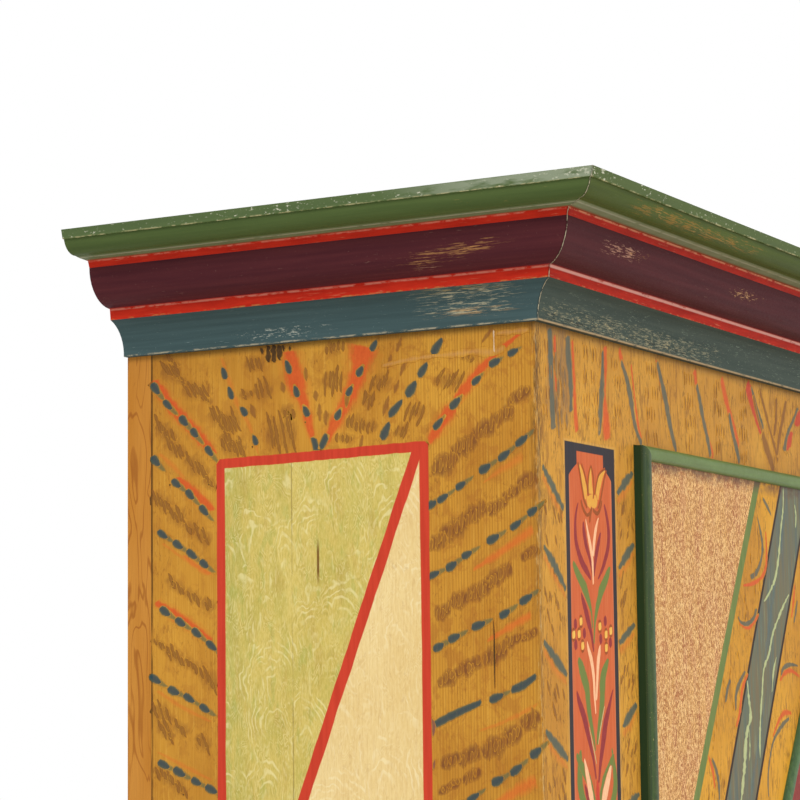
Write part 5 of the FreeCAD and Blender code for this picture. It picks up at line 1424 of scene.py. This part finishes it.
HOOK_GLOWS = [
    [(599, 1628, 4), (600, 1605, 7), (596, 1584, 8), (580, 1571, 7), (551, 1563, 6), (523, 1560, 3)],
    [(570, 1528, 4), (551, 1517, 7), (533, 1511, 6), (508, 1516, 4)],
    [(531, 1458, 4), (513, 1441, 9), (502, 1412, 8), (490, 1396, 4)],
    [(406, 1366, 4), (418, 1348, 8), (423, 1328, 5)],
    [(690, 1568, 3), (685, 1548, 8), (676, 1526, 4)],
    [(632, 1450, 4), (646, 1459, 9), (669, 1463, 8), (698, 1456, 4)],
    [(668, 1412, 5), (642, 1412, 9), (622, 1401, 7), (604, 1384, 4)],
    [(484, 1290, 3), (464, 1266, 7), (458, 1244, 6), (463, 1220, 3)],
]
DOOR_TICKS = 120                # short brown ticks between the wedge and the slate band
BAND_VEINS = [
    [(661, 1684, 2), (658, 1658, 5), (648, 1629, 5), (640, 1601, 6), (626, 1573, 6), (605, 1554, 5),
     (587, 1543, 3)],
    [(670, 1555, 3), (644, 1535, 5), (614, 1507, 6), (599, 1482, 5), (581, 1463, 6), (574, 1436, 6),
     (567, 1409, 5), (563, 1383, 6), (562, 1359, 2)],
    [(528, 1450, 4), (532, 1428, 7), (536, 1409, 9), (524, 1391, 8), (517, 1373, 10), (513, 1352, 9),
     (501, 1315, 7), (488, 1280, 5), (474, 1236, 3)],
    [(623, 1479, 2), (612, 1461, 5), (605, 1436, 2)], [(697, 1666, 2), (701, 1652, 5), (698, 1636, 2)],
    [(531, 1394, 2), (531, 1372, 4), (528, 1357, 2)],
    [(502, 1240, 2), (470, 1190, 5), (440, 1132, 4), (420, 1084, 3)],
]
BAND_BLUES = [
    [(672, 1672, 4), (650, 1618, 12), (622, 1560, 10), (596, 1500, 12), (572, 1440, 5)],
    [(590, 1440, 3), (560, 1380, 10), (534, 1326, 12), (502, 1262, 9), (478, 1206, 4)],
]


def door_ochre(p):
    return front_ground(p, 40, *DOOR_OCHRE)[0]


def paint_leaf(side, sign):
    def place(across, up, lift):
        return (sign * (HALF - across), LEAF_Y - lift, up)

    slot = side + "_door_leaf"
    canvas = Canvas(side + "_leaf_strokes", side + "_door", slot, place, door_ochre, 13)
    for paint, routes in (("orange", HOOK_GLOWS), ("slate", HOOKS)):
        for route in routes:
            for points in (route, mirrored(route)):
                canvas.ribbon(paint, points, 0.2, 4)
    for index in range(DOOR_TICKS):
        high = canvas.chance.uniform(-560, 560)
        wedge, band = WEDGE_OUT - abs(high) / WEDGE_SLOPE, BAND_OUT - abs(high) / BAND_SLOPE
        out = canvas.chance.uniform(band + 8, wedge - 14)
        length = canvas.chance.uniform(3, 7)
        line = [(HALF - out, MIDDLE_Z + high + length),
                (HALF - out - 1, MIDDLE_Z + high - length)]
        canvas.ribbon("brown" if index % 3 else "umber", stroke(line, 2.6))
    canvas.build()
    band = Canvas(side + "_band_strokes", side + "_door", slot, place, slate_ground, 15)
    for paint, routes in (("blue", BAND_BLUES), ("vein", BAND_VEINS)):
        for route in routes:
            band.ribbon(paint, route, 0.45, 4)
            band.ribbon(paint, mirrored(route), 0.45, 4)
    band.build()


# ------------------------------------------------------------------ light and stage
STAGE_REACH, STAGE_CORNERS = 12, 96     # metres from the middle to the rim, and points on it


def make_stage():
    """A plain white floor that keeps the shadow of the kas."""
    mesh = bpy.data.meshes.new("stage_floor")
    turns = [math.tau * index / STAGE_CORNERS for index in range(STAGE_CORNERS)]
    rim = [(STAGE_REACH * math.cos(turn), STAGE_REACH * math.sin(turn), -0.0005) for turn in turns]
    mesh.from_pydata(rim, [], [tuple(range(STAGE_CORNERS))])
    floor = bpy.data.objects.new("stage_floor", mesh)
    scene.collection.objects.link(floor)
    p = Paint("stage_paint")
    p.finish("dcdcda", 0.85, specular=0.1)
    seen = p.tree.nodes.new("ShaderNodeLightPath")
    rays = p.math("MAXIMUM", seen.outputs["Is Camera Ray"], seen.outputs["Is Glossy Ray"])
    rays = p.math("MAXIMUM", rays, seen.outputs["Is Transmission Ray"])
    p.feed(p.shader.inputs["Emission Color"], "ffffff")
    p.feed(p.shader.inputs["Emission Strength"], rays * 0.5)
    mesh.materials.append(p.material)


def lamp(name, place, target, size, power):
    data = bpy.data.lights.new(name, "AREA")
    data.shape = "DISK"
    data.size = size
    data.energy = power
    holder = bpy.data.objects.new(name, data)
    scene.collection.objects.link(holder)
    holder.location = place
    holder.rotation_euler = (Vector(target) - Vector(place)).to_track_quat("-Z", "Y").to_euler()


def make_light():
    world = bpy.data.worlds.new("studio")
    scene.world = world
    world.use_nodes = True
    tree = world.node_tree
    background = tree.nodes["Background"]
    background.inputs["Color"].default_value = (1, 1, 1, 1)
    seen = tree.nodes.new("ShaderNodeLightPath").outputs
    rays = seen["Is Camera Ray"]
    for other in ("Is Transmission Ray", "Is Glossy Ray"):
        node = tree.nodes.new("ShaderNodeMath")
        node.operation = "MAXIMUM"
        tree.links.new(rays, node.inputs[0])
        tree.links.new(seen[other], node.inputs[1])
        rays = node.outputs[0]
    strength = tree.nodes.new("ShaderNodeMapRange")
    tree.links.new(rays, strength.inputs["Value"])
    strength.inputs["To Min"].default_value = 0.75
    strength.inputs["To Max"].default_value = 1.0
    tree.links.new(strength.outputs[0], background.inputs["Strength"])
    lamp("key_lamp", (-4.2, -3.2, 4.2), (-0.4, 0, 1.2), 2.6, 150)
    lamp("fill_lamp", (2.4, -5.0, 2.6), (0.2, 0, 1.1), 3.0, 42)


scene.view_settings.view_transform = "Standard"
make_camera()
make_light()
make_stage()
paint_cornice()
paint_sides()
paint_stiles()
paint_rails()
paint_leaves()
paint_beads()
paint_drawers()
paint_low_mouldings()
paint_rest()
for side, sign in zip(SIDES, (-1, 1)):
    paint_side(side, sign)
    paint_front(side, sign)
    paint_leaf(side, sign)
